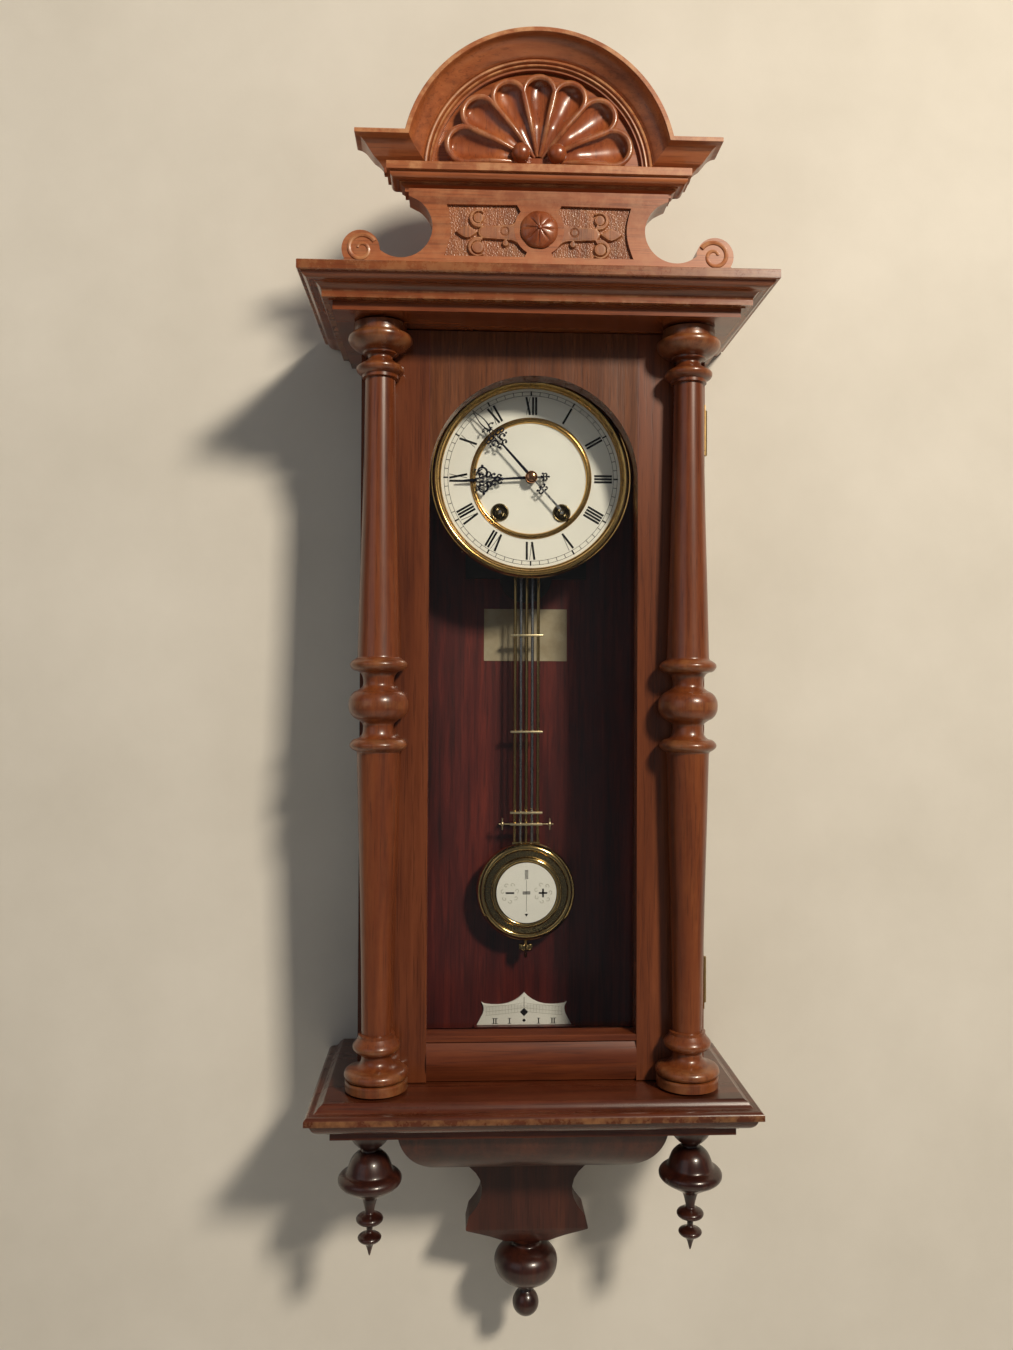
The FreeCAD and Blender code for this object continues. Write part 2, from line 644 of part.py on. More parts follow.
GOING = {"barrel": (28, -31), "second": (31, -1.146), "third": (-12, 19.03), "escape": (0, 31)}
STRIKE = {"barrel": (-28, -31), "pin": (-46, -7), "fly": (-40, 10.02)}
MINUTE = (8.485, -8.485)
HAMMER = (-50, 34)
PIVOT_RISE = 53       # of the anchor and suspension above the dial's centre
PILLARS = [(-56, 54), (56, 54), (-58, -54), (58, -54), (0, -56)]


def toothed(teeth, pitch_radius, thick, y_front, bore=0, turn=0.0):
    """A spur wheel that lies front to back from depth y_front; teeth stand clear of its mate."""
    module = 2 * pitch_radius / teeth
    outer, root = pitch_radius + 0.8 * module, pitch_radius - 1.15 * module
    step = 2 * math.pi / teeth
    points = []
    for i in range(teeth):
        middle = turn + i * step
        for angle, radius in ((-0.27, root), (-0.11, outer), (0.11, outer), (0.27, root)):
            a = middle + angle * step
            points.append(Vector(radius * math.cos(a), -y_front, radius * math.sin(a)))
    wheel = Part.Face(Part.makePolygon(points + points[:1])).extrude(Vector(0, thick, 0))
    if bore:
        wheel = wheel.cut(bar_y(bore, 0, 0, y_front + 1, y_front - thick - 1))
    return wheel


def mesh_turn(wheel_turn, wheel_teeth, teeth, here, there):
    """The turn of a wheel at `there` whose gap meets a tooth of the wheel at `here`."""
    bearing = math.atan2(there[1] - here[1], there[0] - here[0])
    step = 2 * math.pi / wheel_teeth
    phase = ((bearing - wheel_turn) / step) % 1
    other = bearing + math.pi
    return other + (phase + 0.5) * 2 * math.pi / teeth


def crossed(wheel, radius, y_front, thick):
    """Cut four openings in a wheel, leaving its rim, hub and crossings."""
    ring = bar_y(radius - 3, 0, 0, y_front + 1, y_front - thick - 1)
    ring = ring.cut(bar_y(4.5, 0, 0, y_front + 2, y_front - thick - 2))
    for angle in (0, 90):
        spoke = box(-radius, radius, -y_front - 3, -y_front + thick + 3, -1.1, 1.1)
        spoke.rotate(Vector(0, 0, 0), Vector(0, 1, 0), angle)
        ring = ring.cut(spoke)
    return wheel.cut(ring)


def arbor(radius, y_front, y_back):
    """An arbor with a pivot at each end that runs in the plates."""
    front, back = value("front_plate"), value("back_plate + plate_thick")
    body = bar_y(radius, 0, 0, min(y_front, front - 0.3), max(y_back, back + 0.3))
    return body.fuse(bar_y(0.8, 0, 0, y_front, y_back))


def train_piece(label, spot, solids):
    """One rigid piece of the train, placed at its arbor."""
    shape = solids[0].fuse(solids[1:]).removeSplitter() if len(solids) > 1 else solids[0]
    group(label, [shape], (spot[0], 0, value("dial_height") + spot[1]))


def make_going_train():
    radius = {t: MODULE * t / 2 for t in (12, 78, 81)}
    barrel_turn = 0.0
    barrel = toothed(78, radius[78], 2, 52, turn=barrel_turn)
    barrel = barrel.fuse(bar_y(24, 0, 0, 66, 52)).cut(bar_y(2.0 + RUN, 0, 0, 70, 49))
    train_piece("time_barrel", GOING["barrel"], [barrel])
    pinion_turn = mesh_turn(barrel_turn, 78, 12, GOING["barrel"], GOING["second"])
    pinion = toothed(12, radius[12], 5, 54, turn=pinion_turn)
    second = crossed(toothed(81, radius[81], 1.5, 47.5), radius[81], 47.5, 1.5)
    train_piece("time_second_wheel", GOING["second"], [pinion, second, arbor(1.4, 74.2, 40.3)])
    pinion_turn = mesh_turn(0, 81, 12, GOING["second"], (0, 0))
    pinion = toothed(12, radius[12], 3.5, 48.5, turn=pinion_turn)
    wheel = crossed(toothed(80, 20, 1.5, 70), 20, 70, 1.5)
    stem = bar_y(1.4, 0, 0, 88.9, 43).fuse(bar_y(0.8, 0, 0, 43, 40.3))
    cannon = toothed(12, 3, 2.5, 77.4, turn=mesh_turn(0, 36, 12, MINUTE, (0, 0)))
    train_piece("centre_arbor", (0, 0), [pinion, wheel, stem, cannon])
    pinion = toothed(10, 2.5, 3.5, 71, turn=mesh_turn(0, 80, 10, (0, 0), GOING["third"]))
    gap = math.dist(GOING["third"], GOING["escape"])
    third = crossed(toothed(64, gap * 64 / 72, 1.5, 60), gap * 64 / 72, 60, 1.5)
    train_piece("third_wheel", GOING["third"], [pinion, third, arbor(1.1, 74.2, 40.3)])
    turn = mesh_turn(0, 64, 8, GOING["third"], GOING["escape"])
    pinion = toothed(8, gap * 8 / 72, 3.5, 61, turn=turn)
    train_piece("escape_wheel", GOING["escape"], [pinion, escape_disc(), arbor(0.9, 74.2, 40.3)])


def escape_disc():
    """The recoil escape wheel: forty-two raked teeth."""
    teeth, root, tip = 42, 11.6, 13.2
    points = []
    for i in range(teeth):
        a = 2 * math.pi * i / teeth
        step = 2 * math.pi / teeth
        for share, radius in ((0, root), (0.42, tip), (0.52, tip), (0.6, root)):
            points.append(Vector(radius * math.cos(a + share * step), -50,
                                 radius * math.sin(a + share * step)))
    disc = Part.Face(Part.makePolygon(points + points[:1])).extrude(Vector(0, 1.5, 0))
    return crossed(disc, 11, 50, 1.5)


def make_strike_train():
    radius = {t: MODULE * t / 2 for t in (12, 78)}
    barrel = toothed(78, radius[78], 2, 52)
    barrel = barrel.fuse(bar_y(24, 0, 0, 66, 52)).cut(bar_y(2.0 + RUN, 0, 0, 70, 49))
    train_piece("strike_barrel", STRIKE["barrel"], [barrel])
    pinion = toothed(12, radius[12], 5, 54,
                     turn=mesh_turn(0, 78, 12, STRIKE["barrel"], STRIKE["pin"]))
    gap = math.dist(STRIKE["pin"], STRIKE["fly"])
    wheel = crossed(toothed(64, gap * 64 / 72, 1.5, 47.5), gap * 64 / 72, 47.5, 1.5)
    lift_pins = []
    for i in range(8):
        a = math.pi * i / 4
        pin = bar_y(0.7, 12.5 * math.cos(a), 12.5 * math.sin(a), 46.2, 43.2)
        lift_pins.append(pin)
    train_piece("strike_pin_wheel", STRIKE["pin"],
                [pinion, wheel, arbor(1.4, 74.2, 40.3)] + lift_pins)
    pinion = toothed(8, gap * 8 / 72, 3.5, 48.5,
                     turn=mesh_turn(0, 64, 8, STRIKE["pin"], STRIKE["fly"]))
    vane = box(-10.5, 10.5, -68, -54, -0.4, 0.4)
    train_piece("strike_fly", STRIKE["fly"], [pinion, vane, arbor(0.9, 74.2, 40.3)])


def make_winding_arbors():
    for name, spot in (("time", GOING["barrel"]), ("strike", STRIKE["barrel"])):
        body = bar_y(2.0, 0, 0, 74.7, 43).fuse(bar_y(1.2, 0, 0, 43, 40.3))
        square = box(-1.6, 1.6, -84.5, -74.7, -1.6, 1.6)
        train_piece(f"{name}_winding_arbor", spot, [body, square])


def make_motion_work():
    turn = mesh_turn(0, 40, 10, (0, 0), MINUTE)
    low = toothed(10, 2.4, 1.4, 78.2, turn=turn)
    wheel = toothed(36, 9, 1.5, 76.8, bore=0)
    train_piece("minute_wheel", MINUTE, [wheel.cut(bar_y(0.9 + RUN, 0, 0, 79, 70)),
                                         low.cut(bar_y(0.9 + RUN, 0, 0, 79, 70))])
    wheel = toothed(40, 9.6, 0.9, 78.4).fuse(bar_y(3, 0, 0, 86.2, 78.4))
    wheel = wheel.cut(bar_y(1.4 + RUN, 0, 0, 90, 70))
    train_piece("hour_wheel", (0, 0), [wheel])


def make_plates():
    """The front and back plates with the holes that their arbors run in."""
    centre = value("dial_height")
    half, thick = value("plate_half"), value("plate_thick")
    holes = [(GOING[k], 0.8) for k in ("second", "third", "escape")]
    holes += [(STRIKE[k], 0.8) for k in ("pin", "fly")]
    for name, depth in (("front", value("front_plate")), ("back", value("back_plate"))):
        plate = box(-half, half, -depth - thick, -depth, centre - half, centre + half)
        winding = 2.0 if name == "front" else 1.2
        middle = 1.4 if name == "front" else 0.8
        here = holes + [(GOING["barrel"], winding), (STRIKE["barrel"], winding), ((0, 0), middle)]
        here += [((0, PIVOT_RISE), 1.0), (HAMMER, 1.0)]
        for (x, z), radius in here:
            plate = plate.cut(bar_y(radius + RUN, x, centre + z, depth + 10, depth - 10))
        if name == "front":
            post = bar_y(0.9, MINUTE[0], centre + MINUTE[1], 78.4, depth)
            plate = plate.fuse(post)
        else:
            plate = plate.fuse(riveted_pillars() + [suspension_cock()])
        group(f"{name}_plate", [plate.removeSplitter()])


def riveted_pillars():
    """The pillars that hold the plates apart, riveted in the back plate."""
    inner, outer, centre = value("back_plate + plate_thick"), value("front_plate"), value("dial_height")
    return [bar_y(3, x, centre + z, outer, inner) for x, z in PILLARS]


def suspension_cock():
    """The bracket on the back plate that the pendulum's spring hangs from."""
    pivot, back = value("pivot_height"), value("back_plate")
    shelf = box(-14, 14, -back, -22, pivot + 4, pivot + 8)
    return shelf.fuse(box(-14, 14, -back, -38.5, pivot + 4, pivot + 14))


def make_bracket_and_gong():
    """The iron bracket that carries the movement, and the coil gong behind the pendulum."""
    centre, back = value("dial_height"), value("back_thick")
    plate_back = value("back_plate")
    lobe = bar_y(25, 0, centre - 82, back + 4, back)
    frame = lobe.fuse(box(-58, 58, -back - 4, -back, centre - 84, centre - 66))
    for side in (-1, 1):
        upright = box(side * 54 - 4, side * 54 + 4, -back - 4, -back, centre - 84, centre + 60)
        frame = frame.fuse(upright)
        for z in (-56, 50):
            frame = frame.fuse(box(side * 54 - 4, side * 54 + 4, -plate_back, -back,
                                   centre + z - 5, centre + z + 5))
    group("movement_bracket", [frame.removeSplitter()])
    coil = None
    for radius in (28, 34, 40):
        turn = Part.makeTorus(radius, 1.1, Vector(0, -19.5, centre - 4), Vector(0, 1, 0))
        coil = turn if coil is None else coil.fuse(turn)
    spoke = Part.makeCylinder(1.0, 40, Vector(2, -19.5, centre - 4), Vector(-1, 0, 0))
    post = Part.makeCylinder(4, 9.5, Vector(0, -back, centre - 4), Vector(0, -1, 0))
    group("coil_gong", [coil.fuse([spoke, post]).removeSplitter()])


def make_anchor():
    """The anchor, its arbor and the crutch that pushes the pendulum, in one rigid piece."""
    arms = None
    for side in (-1, 1):
        arm = box(-1.2, 1.2, -50.6, -48.2, -13.5, 0)
        arm.rotate(Vector(0, 0, 0), Vector(0, 1, 0), side * 56)
        pallet = box(-0.9, 0.9, -50.6, -48.2, -11.5, -6.5)
        pallet.translate(Vector(-side * 11.3, 0, 0))
        arm = arm.fuse(pallet)
        arms = arm if arms is None else arms.fuse(arm)
    arms = arms.fuse(bar_y(2.2, 0, 0, 50.6, 48.2))
    shaft = bar_y(1.5, 0, 0, 71.6, 42.9).fuse(bar_y(1.0, 0, 0, 74.2, 36.2))
    crutch = box(-0.8, 0.8, -38.6, -37.2, -46, 0).fuse(box(-4.4, 4.4, -38.6, -37.2, -50, -44))
    for side in (-1, 1):
        crutch = crutch.fuse(box(side * 3.9 - 0.5, side * 3.9 + 0.5, -38.6, -31, -49, -45))
    train_piece("anchor_and_crutch", (0, PIVOT_RISE), [arms, shaft, crutch])


def make_hammer():
    """The gong hammer on its arbor."""
    shaft = bar_y(1.6, 0, 0, 71.6, 42.9).fuse(bar_y(1.0, 0, 0, 74.2, 36.4))
    arm = box(-1, 1, -38.6, -36.8, -40, 0)
    head = Part.makeCylinder(4, 9, Vector(-4.5, -21.5, -40), Vector(1, 0, 0))
    stem = box(-1, 1, -38.6, -21.5, -42, -38)
    tail = box(-1, 1, -45.4, -43.4, -27.5, 0)
    train_piece("strike_hammer", HAMMER, [shaft, arm, stem, head, tail])


# ---------------------------------------------------------------- hands and pendulum

def hand_shape(y_front, thick, reach, ring, tail, angle, bore):
    """A pierced hand: boss, tapered stem, open scroll ring, blade and tail, at a clock angle."""
    def slab(points):
        spots = [Vector(x, -y_front, z) for x, z in points]
        return Part.Face(Part.makePolygon(spots + spots[:1])).extrude(Vector(0, thick, 0))

    stem = slab([(-1.4, 0), (1.4, 0), (0.9, ring - 6), (-0.9, ring - 6)])
    blade = slab([(-2.6, ring + 6), (2.6, ring + 6), (0.4, reach), (-0.4, reach)])
    back = slab([(-0.9, -tail), (0.9, -tail), (1.4, 0), (-1.4, 0)])
    loop = bar_y(8, 0, ring, y_front, y_front - thick).cut(bar_y(5.2, 0, ring, y_front + 1, 0))
    loop = loop.fuse(slab([(-0.8, ring - 7), (0.8, ring - 7), (0.8, ring + 7), (-0.8, ring + 7)]))
    boss = bar_y(5, 0, 0, y_front, y_front - thick)
    hand = stem.fuse([blade, back, loop, boss])
    hand.rotate(Vector(0, 0, 0), Vector(0, 1, 0), angle)
    return hand.cut(bar_y(bore, 0, 0, y_front + 1, 0)).removeSplitter()


def make_hands():
    train_piece("hour_hand", (0, 0), [hand_shape(86, 0.9, 66, 38, 14, 266.5, 3)])
    train_piece("minute_hand", (0, 0), [hand_shape(88.6, 0.9, 79, 43, 40, 318, 1.4)])
    nut = bar_y(5.6, 0, 0, 91, 88.6).fuse(bar_y(3, 0, 0, 92.4, 91))
    nut = nut.cut(bar_y(1.4, 0, 0, 88.9, 80))
    train_piece("hand_nut", (0, 0), [nut])


def make_pendulum():
    """The gridiron pendulum: five rods, four bars, bob, and the rating nut on its screw."""
    depth, pivot = value("pendulum_y"), value("pivot_height")
    pitch, radius = value("rod_pitch"), value("rod_radius")
    bars = (-308.5, -399.5, -475.7, -486.5)
    half = value("bar_half")
    bob_top = value("bob_height + bob_radius")
    rods = []
    for i in range(-2, 3):
        low = bars[3] if i else bob_top
        rods.append(Part.makeCylinder(radius, bars[0] - low, Vector(i * pitch, -depth, low)))
    block_bars = [box(-half, half, -depth - 3.4, -depth + 3.4, z - 2, z + 2) for z in bars]
    grid = rods[0].fuse(rods[1:] + block_bars)
    upper = Part.makeCylinder(2.4, pivot - 12 - bars[0], Vector(0, -depth, bars[0]))
    screw_low = value("bob_height - bob_radius") - 26
    screw = Part.makeCone(0.6, 1.6, 8, Vector(0, -depth, screw_low - 8))
    screw = screw.fuse(Part.makeCylinder(1.6, bob_top - screw_low, Vector(0, -depth, screw_low)))
    star = half + 7
    pin = box(-star, star, -depth - 0.6, -depth + 0.6, bars[3] - 0.6, bars[3] + 0.6)
    stars = [box(s * star - 1, s * star + 1, -depth - 1, -depth + 1, bars[3] - 4, bars[3] + 4)
             for s in (-1, 1)]
    group("pendulum_gridiron", [grid.fuse([upper, screw, pin] + stars).removeSplitter()])
    spring = box(-3, 3, -depth - 0.15, -depth + 0.15, pivot - 12, pivot + 1)
    hook = box(-4, 4, -depth - 1.6, -depth + 1.6, pivot + 1, pivot + 3.5)
    group("suspension_spring", [spring.fuse(hook).removeSplitter()])
    make_bob(depth)
    nut = Part.makeCylinder(6, 6, Vector(0, -depth, value("bob_height - bob_radius") - 9))
    group("rating_nut", [nut.cut(Part.makeCylinder(1.6 + RUN, 200, Vector(0, -depth, -700)))])


def make_bob(depth):
    """The lens-shaped bob of two brass shells and its enamel disc."""
    body = new_body("pendulum_bob")
    sketch = new_sketch(body, "lens", "XY_Plane")
    edge = "bob_radius"
    outline(sketch, [(0, -9.5), ("bob_disc + 1", -9.5), ("bob_disc + 1", -8, -2.2), (edge, -1.5),
                     (edge, 1.5, -2.6), (0, 8)])
    revolve(body, sketch)
    place(body, 0, "-pendulum_y", "bob_height")
    hole = doc.addObject("Part::Cylinder", "bob_hole")
    bind(hole, Radius="1.6", Height="3 * bob_radius")
    place(hole, 0, "-pendulum_y", "bob_height - 1.5 * bob_radius")
    parts.remove(body)
    body.Label = "bob_blank"
    cut("pendulum_bob_shell", body, hole)
    disc = bar_y(value("bob_disc"), 0, value("bob_height"), depth + 10.4, depth + 9.5)
    group("bob_enamel_disc", [disc])


def make_backboard_fittings():
    """The beat scale with its block, and the paper label, on the back board."""
    face = value("back_thick")
    scale = [(-45.5, -681), (45.5, -681), (42, -671), (39, -668), (42, -661), (0, -650.2),
             (-42, -661), (-39, -668), (-42, -671)]
    spots = [Vector(x, -face, z) for x, z in scale]
    plate = Part.Face(Part.makePolygon(spots + spots[:1])).extrude(Vector(0, -2, 0))
    group("beat_scale", [plate])
    group("beat_scale_block", [box(-48, 48, -face - 8, -face, -688, -681)])
    group("paper_label", [box(-40, 40, -face - 0.3, -face, -332, -282)])


# ---------------------------------------------------------------- build and write

def write_parts():
    doc.recompute()
    for obj in doc.Objects:
        if "Invalid" in obj.State or "Error" in obj.State:
            raise RuntimeError(f"{obj.Label} failed: {obj.State}")
    os.makedirs("parts", exist_ok=True)
    for obj in parts:
        if obj.Shape.isNull() or not obj.Shape.isValid():
            raise RuntimeError(f"{obj.Label} has no valid shape")
        obj.Shape.exportStep(f"parts/{obj.Label}.step")
    print(len(parts), "nodes")


make_case()
make_cornice()
make_base()
make_bracket()
make_door()
make_columns()
make_door_hinges()
make_crest()
make_drops()
make_hanger()
make_dial()
make_plates()
make_going_train()
make_strike_train()
make_winding_arbors()
make_motion_work()
make_bracket_and_gong()
make_anchor()
make_hammer()
make_hands()
make_pendulum()
make_backboard_fittings()
write_parts()
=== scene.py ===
import math
import random

import bmesh
import bpy
from mathutils import Matrix, Vector
from mathutils.geometry import tessellate_polygon


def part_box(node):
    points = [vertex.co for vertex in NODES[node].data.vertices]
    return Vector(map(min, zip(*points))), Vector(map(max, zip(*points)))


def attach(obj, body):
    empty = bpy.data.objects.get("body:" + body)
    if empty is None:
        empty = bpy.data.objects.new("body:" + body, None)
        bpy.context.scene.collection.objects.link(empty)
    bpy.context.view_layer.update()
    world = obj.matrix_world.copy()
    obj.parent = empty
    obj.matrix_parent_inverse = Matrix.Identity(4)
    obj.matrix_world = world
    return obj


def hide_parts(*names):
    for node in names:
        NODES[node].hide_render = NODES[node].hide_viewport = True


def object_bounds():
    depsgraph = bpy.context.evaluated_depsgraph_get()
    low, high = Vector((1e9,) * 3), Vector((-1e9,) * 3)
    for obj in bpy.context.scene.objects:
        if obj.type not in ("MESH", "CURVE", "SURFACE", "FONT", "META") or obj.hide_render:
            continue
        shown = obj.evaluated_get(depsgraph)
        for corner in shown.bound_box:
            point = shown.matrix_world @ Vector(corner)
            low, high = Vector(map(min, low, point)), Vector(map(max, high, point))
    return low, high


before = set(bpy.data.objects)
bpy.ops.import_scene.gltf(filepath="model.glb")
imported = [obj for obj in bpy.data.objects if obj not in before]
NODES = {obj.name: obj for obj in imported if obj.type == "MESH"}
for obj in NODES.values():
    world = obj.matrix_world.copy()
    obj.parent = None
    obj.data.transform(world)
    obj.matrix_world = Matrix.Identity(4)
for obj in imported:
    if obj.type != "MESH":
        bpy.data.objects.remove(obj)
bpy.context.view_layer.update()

MM = 0.001
random.seed(7)


def span(node):
    """A CAD node's lowest and highest corners in millimetres."""
    low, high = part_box(node)
    return [c / MM for c in low], [c / MM for c in high]


# ---------------------------------------------------------------- mesh helpers

def piece(name, verts, faces, material, body="case", slot=None, stands_for=(), sharp=32, wear=None):
    """A mesh piece from points in millimetres, which rides on a CAD body."""
    mesh = bpy.data.meshes.new(name)
    mesh.from_pydata([Vector(v) * MM for v in verts], [], faces)
    work = bmesh.new()
    work.from_mesh(mesh)
    bmesh.ops.recalc_face_normals(work, faces=work.faces)
    work.to_mesh(mesh)
    work.free()
    mesh.polygons.foreach_set("use_smooth", [True] * len(mesh.polygons))
    mesh.set_sharp_from_angle(angle=math.radians(sharp))
    if wear is not None:
        layer = mesh.attributes.new("wear", "FLOAT", "POINT")
        layer.data.foreach_set("value", wear)
    mesh.materials.append(material)
    obj = bpy.data.objects.new(name, mesh)
    bpy.context.scene.collection.objects.link(obj)
    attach(obj, body)
    if stands_for:
        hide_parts(*stands_for)
    return obj


def merged(shapes):
    """Several (verts, faces) shapes as one."""
    verts, faces = [], []
    for v, f in shapes:
        base = len(verts)
        verts += list(v)
        faces += [tuple(i + base for i in face) for face in f]
    return verts, faces


def moved(shape, x=0, y=0, z=0):
    return [(v[0] + x, v[1] + y, v[2] + z) for v in shape[0]], shape[1]


def run(points, step=1.2):
    """Sample an outline of (a, b[, bulge]) points. A positive bulge is to the right of travel."""
    path = []
    for i, point in enumerate(points):
        path.append(Vector((point[0], point[1])))
        bulge = point[2] if len(point) > 2 else 0
        if not bulge or i + 1 == len(points):
            continue
        start, end = path[-1], Vector(points[i + 1][:2])
        chord = (end - start).length
        radius = chord * chord / (8 * abs(bulge)) + abs(bulge) / 2
        side = Vector((end.y - start.y, start.x - end.x)).normalized() * math.copysign(1, bulge)
        centre = (start + end) / 2 + side * (abs(bulge) - radius)
        first = math.atan2(start.y - centre.y, start.x - centre.x)
        half = math.acos(max(-1, min(1, (radius - abs(bulge)) / radius)))
        turn = math.copysign(2 * half, bulge)
        count = max(3, int(radius * 2 * half / step))
        for k in range(1, count):
            a = first + turn * k / count
            path.append(centre + Vector((math.cos(a), math.sin(a))) * radius)
    return path


def flow(points, count=4):
    """A smooth curve through points, with extra points between them."""
    spots = [Vector(p) for p in points]
    result = []
    for i, (a, b) in enumerate(zip(spots, spots[1:])):
        before = spots[i - 1] if i else a
        after = spots[i + 2] if i + 2 < len(spots) else b
        lean = (b - a).length
        leave = (b - before).normalized() * lean * 0.36
        arrive = (after - a).normalized() * lean * 0.36
        for k in range(count):
            t = k / count
            result.append(a * (1 - t) ** 3 + (a + leave) * 3 * t * (1 - t) ** 2
                          + (b - arrive) * 3 * t * t * (1 - t) + b * t ** 3)
    return result + [spots[-1]]


def lathe(profile, segments=72, axis="Z"):
    """Turn an outline of (r, height) points; ends on the axis are closed to a point."""
    verts, faces, rings = [], [], []
    for r, h in profile:
        if r < 1e-6:
            rings.append([len(verts)])
            verts.append((0, 0, h) if axis == "Z" else (0, h, 0))
            continue
        ring = []
        for k in range(segments):
            a = 2 * math.pi * k / segments
            x, y = r * math.cos(a), r * math.sin(a)
            ring.append(len(verts))
            verts.append((x, y, h) if axis == "Z" else (x, h, y))
        rings.append(ring)
    for low, high in zip(rings, rings[1:]):
        faces += band(low, high)
    if len(rings[0]) > 1 and len(rings[-1]) > 1:
        faces += band(rings[-1], rings[0])
    return verts, faces


def band(low, high, closed=True):
    """Faces between two rings of points, either of which may be one point."""
    if len(low) == 1 and len(high) == 1:
        return []
    count = max(len(low), len(high))
    faces = []
    for k in range(count if closed else count - 1):
        n = (k + 1) % count
        if len(low) == 1:
            faces.append((low[0], high[n], high[k]))
        elif len(high) == 1:
            faces.append((low[k], low[n], high[0]))
        else:
            faces.append((low[k], low[n], high[n], high[k]))
    return faces


def loft(rows, closed=False):
    """Faces along rows of points, capped at both ends unless the last row joins the first."""
    faces = [face for low, high in zip(rows, rows[1:]) for face in band(low, high)]
    if closed:
        return faces + band(rows[-1], rows[0])
    return faces + [tuple(reversed(rows[0])), tuple(rows[-1])]


def sheet(rows, columns):
    """Faces of a sheet stored row by row, with columns + 1 points to a row."""
    return [(a, a + 1, a + columns + 2, a + columns + 1)
            for j in range(rows) for a in range(j * (columns + 1), (j + 1) * (columns + 1) - 1)]


def prism(count):
    """Faces of an outline of count points followed by the same outline further along."""
    ends = [tuple(range(count)), tuple(range(2 * count - 1, count - 1, -1))]
    return ends + [(k, (k + 1) % count, (k + 1) % count + count, k + count) for k in range(count)]


def turned(profile, segments, z, x=0):
    """A lathe shape whose axis runs front to back through (x, z)."""
    return moved(lathe(profile, segments, "Y"), x, 0, z)


def mitred(front, side, back=0.0):
    """A block moulded on its front and ends: (half width, z) and (depth, z) outlines of equal
    length, from the top down. Closed at the wall, the top and the bottom."""
    verts, faces, rows = [], [], []
    for (w, z), (d, _) in zip(front, side):
        rows.append(range(len(verts), len(verts) + 4))
        verts += [(-w, -back, z), (-w, -d, z), (w, -d, z), (w, -back, z)]
    for high, low in zip(rows, rows[1:]):
        faces += [(high[k], high[(k + 1) % 4], low[(k + 1) % 4], low[k]) for k in range(4)]
    faces += [tuple(rows[0]), tuple(reversed(rows[-1]))]
    return verts, faces


def offset(outline, distance):
    """An outline moved inwards by a distance, corner by corner."""
    count = len(outline)
    area = sum(outline[i].x * outline[(i + 1) % count].y - outline[(i + 1) % count].x * outline[i].y
               for i in range(count))
    sign = 1 if area > 0 else -1
    result = []
    for i, here in enumerate(outline):
        a = (here - outline[i - 1]).normalized()
        b = (outline[(i + 1) % count] - here).normalized()
        normal = Vector((-a.y - b.y, a.x + b.x)) * sign
        length = normal.length
        result.append(here + normal / max(length, 0.3) * distance * min(2, 2 / max(length, 0.5)))
    return result


def slab(outline, front, back, bevel=0.6):
    """A board cut to an (x, z) outline with a small rounded arris at its front edge. Depths are
    measured in front of the wall."""
    outline = [Vector(p) for p in outline]
    loops = [(outline, back), (outline, front - bevel),
             (offset(outline, bevel * 0.3), front - bevel * 0.3), (offset(outline, bevel), front)]
    verts, rows = [], []
    for loop, depth in loops:
        rows.append(list(range(len(verts), len(verts) + len(loop))))
        verts += [(p.x, -depth, p.y) for p in loop]
    return verts, loft(rows)


def tube(path, radius, segments=10, closed=False, flat=1.0, up=Vector((0, 1, 0))):
    """A round or flattened bead along a path. radius is a number or a function of 0..1."""
    count = len(path)
    verts, rows = [], []
    for i, spot in enumerate(path):
        spot = Vector(spot)
        ahead = Vector(path[(i + 1) % count] if closed or i + 1 < count else path[i])
        behind = Vector(path[i - 1] if closed or i else path[i])
        along = (ahead - behind).normalized()
        side = along.cross(up)
        side = side.normalized() if side.length > 1e-6 else Vector((1, 0, 0))
        over = side.cross(along).normalized()
        size = radius(i / (count - 1)) if callable(radius) else radius
        rows.append(list(range(len(verts), len(verts) + segments)))
        for k in range(segments):
            a = 2 * math.pi * k / segments
            verts.append(spot + side * (math.cos(a) * size) + over * (math.sin(a) * size * flat))
    return verts, loft(rows, closed)


def block(x0, x1, y0, y1, z0, z1, bevel=0.4):
    """A box with small chamfers on every edge."""
    work = bmesh.new()
    bmesh.ops.create_cube(work, size=1)
    for v in work.verts:
        v.co = Vector(((x0 + x1) / 2 + v.co.x * (x1 - x0), (y0 + y1) / 2 + v.co.y * (y1 - y0),
                       (z0 + z1) / 2 + v.co.z * (z1 - z0)))
    if bevel:
        bmesh.ops.bevel(work, geom=work.edges[:], offset=bevel, segments=2, affect="EDGES",
                        profile=0.6)
    work.verts.index_update()
    shape = [tuple(v.co) for v in work.verts], [tuple(v.index for v in f.verts) for f in work.faces]
    work.free()
    return shape


def spiral(x, z, outer, inner, start, turns, y, count=48):
    """Points of a spiral in a plane in front of the wall, from its outside in."""
    points = []
    for i in range(count + 1):
        t = i / count
        a = start + 2 * math.pi * turns * t
        r = outer + (inner - outer) * t
        points.append(Vector((x + r * math.cos(a), -y, z + r * math.sin(a))))
    return points


def plates(outlines, low, high):
    """Thin flat shapes: convex (x, z) outlines standing between two distances from the wall."""
    shapes = []
    for outline in outlines:
        verts = [(p[0], -depth, p[1]) for depth in (low, high) for p in outline]
        shapes.append((verts, prism(len(outline))))
    return merged(shapes)


def stroke(a, b, wide):
    """A straight bar of a width from one (x, z) point to another."""
    a, b = Vector(a), Vector(b)
    side = Vector((a.y - b.y, b.x - a.x)).normalized() * (wide / 2)
    return [a - side, b - side, b + side, a + side]


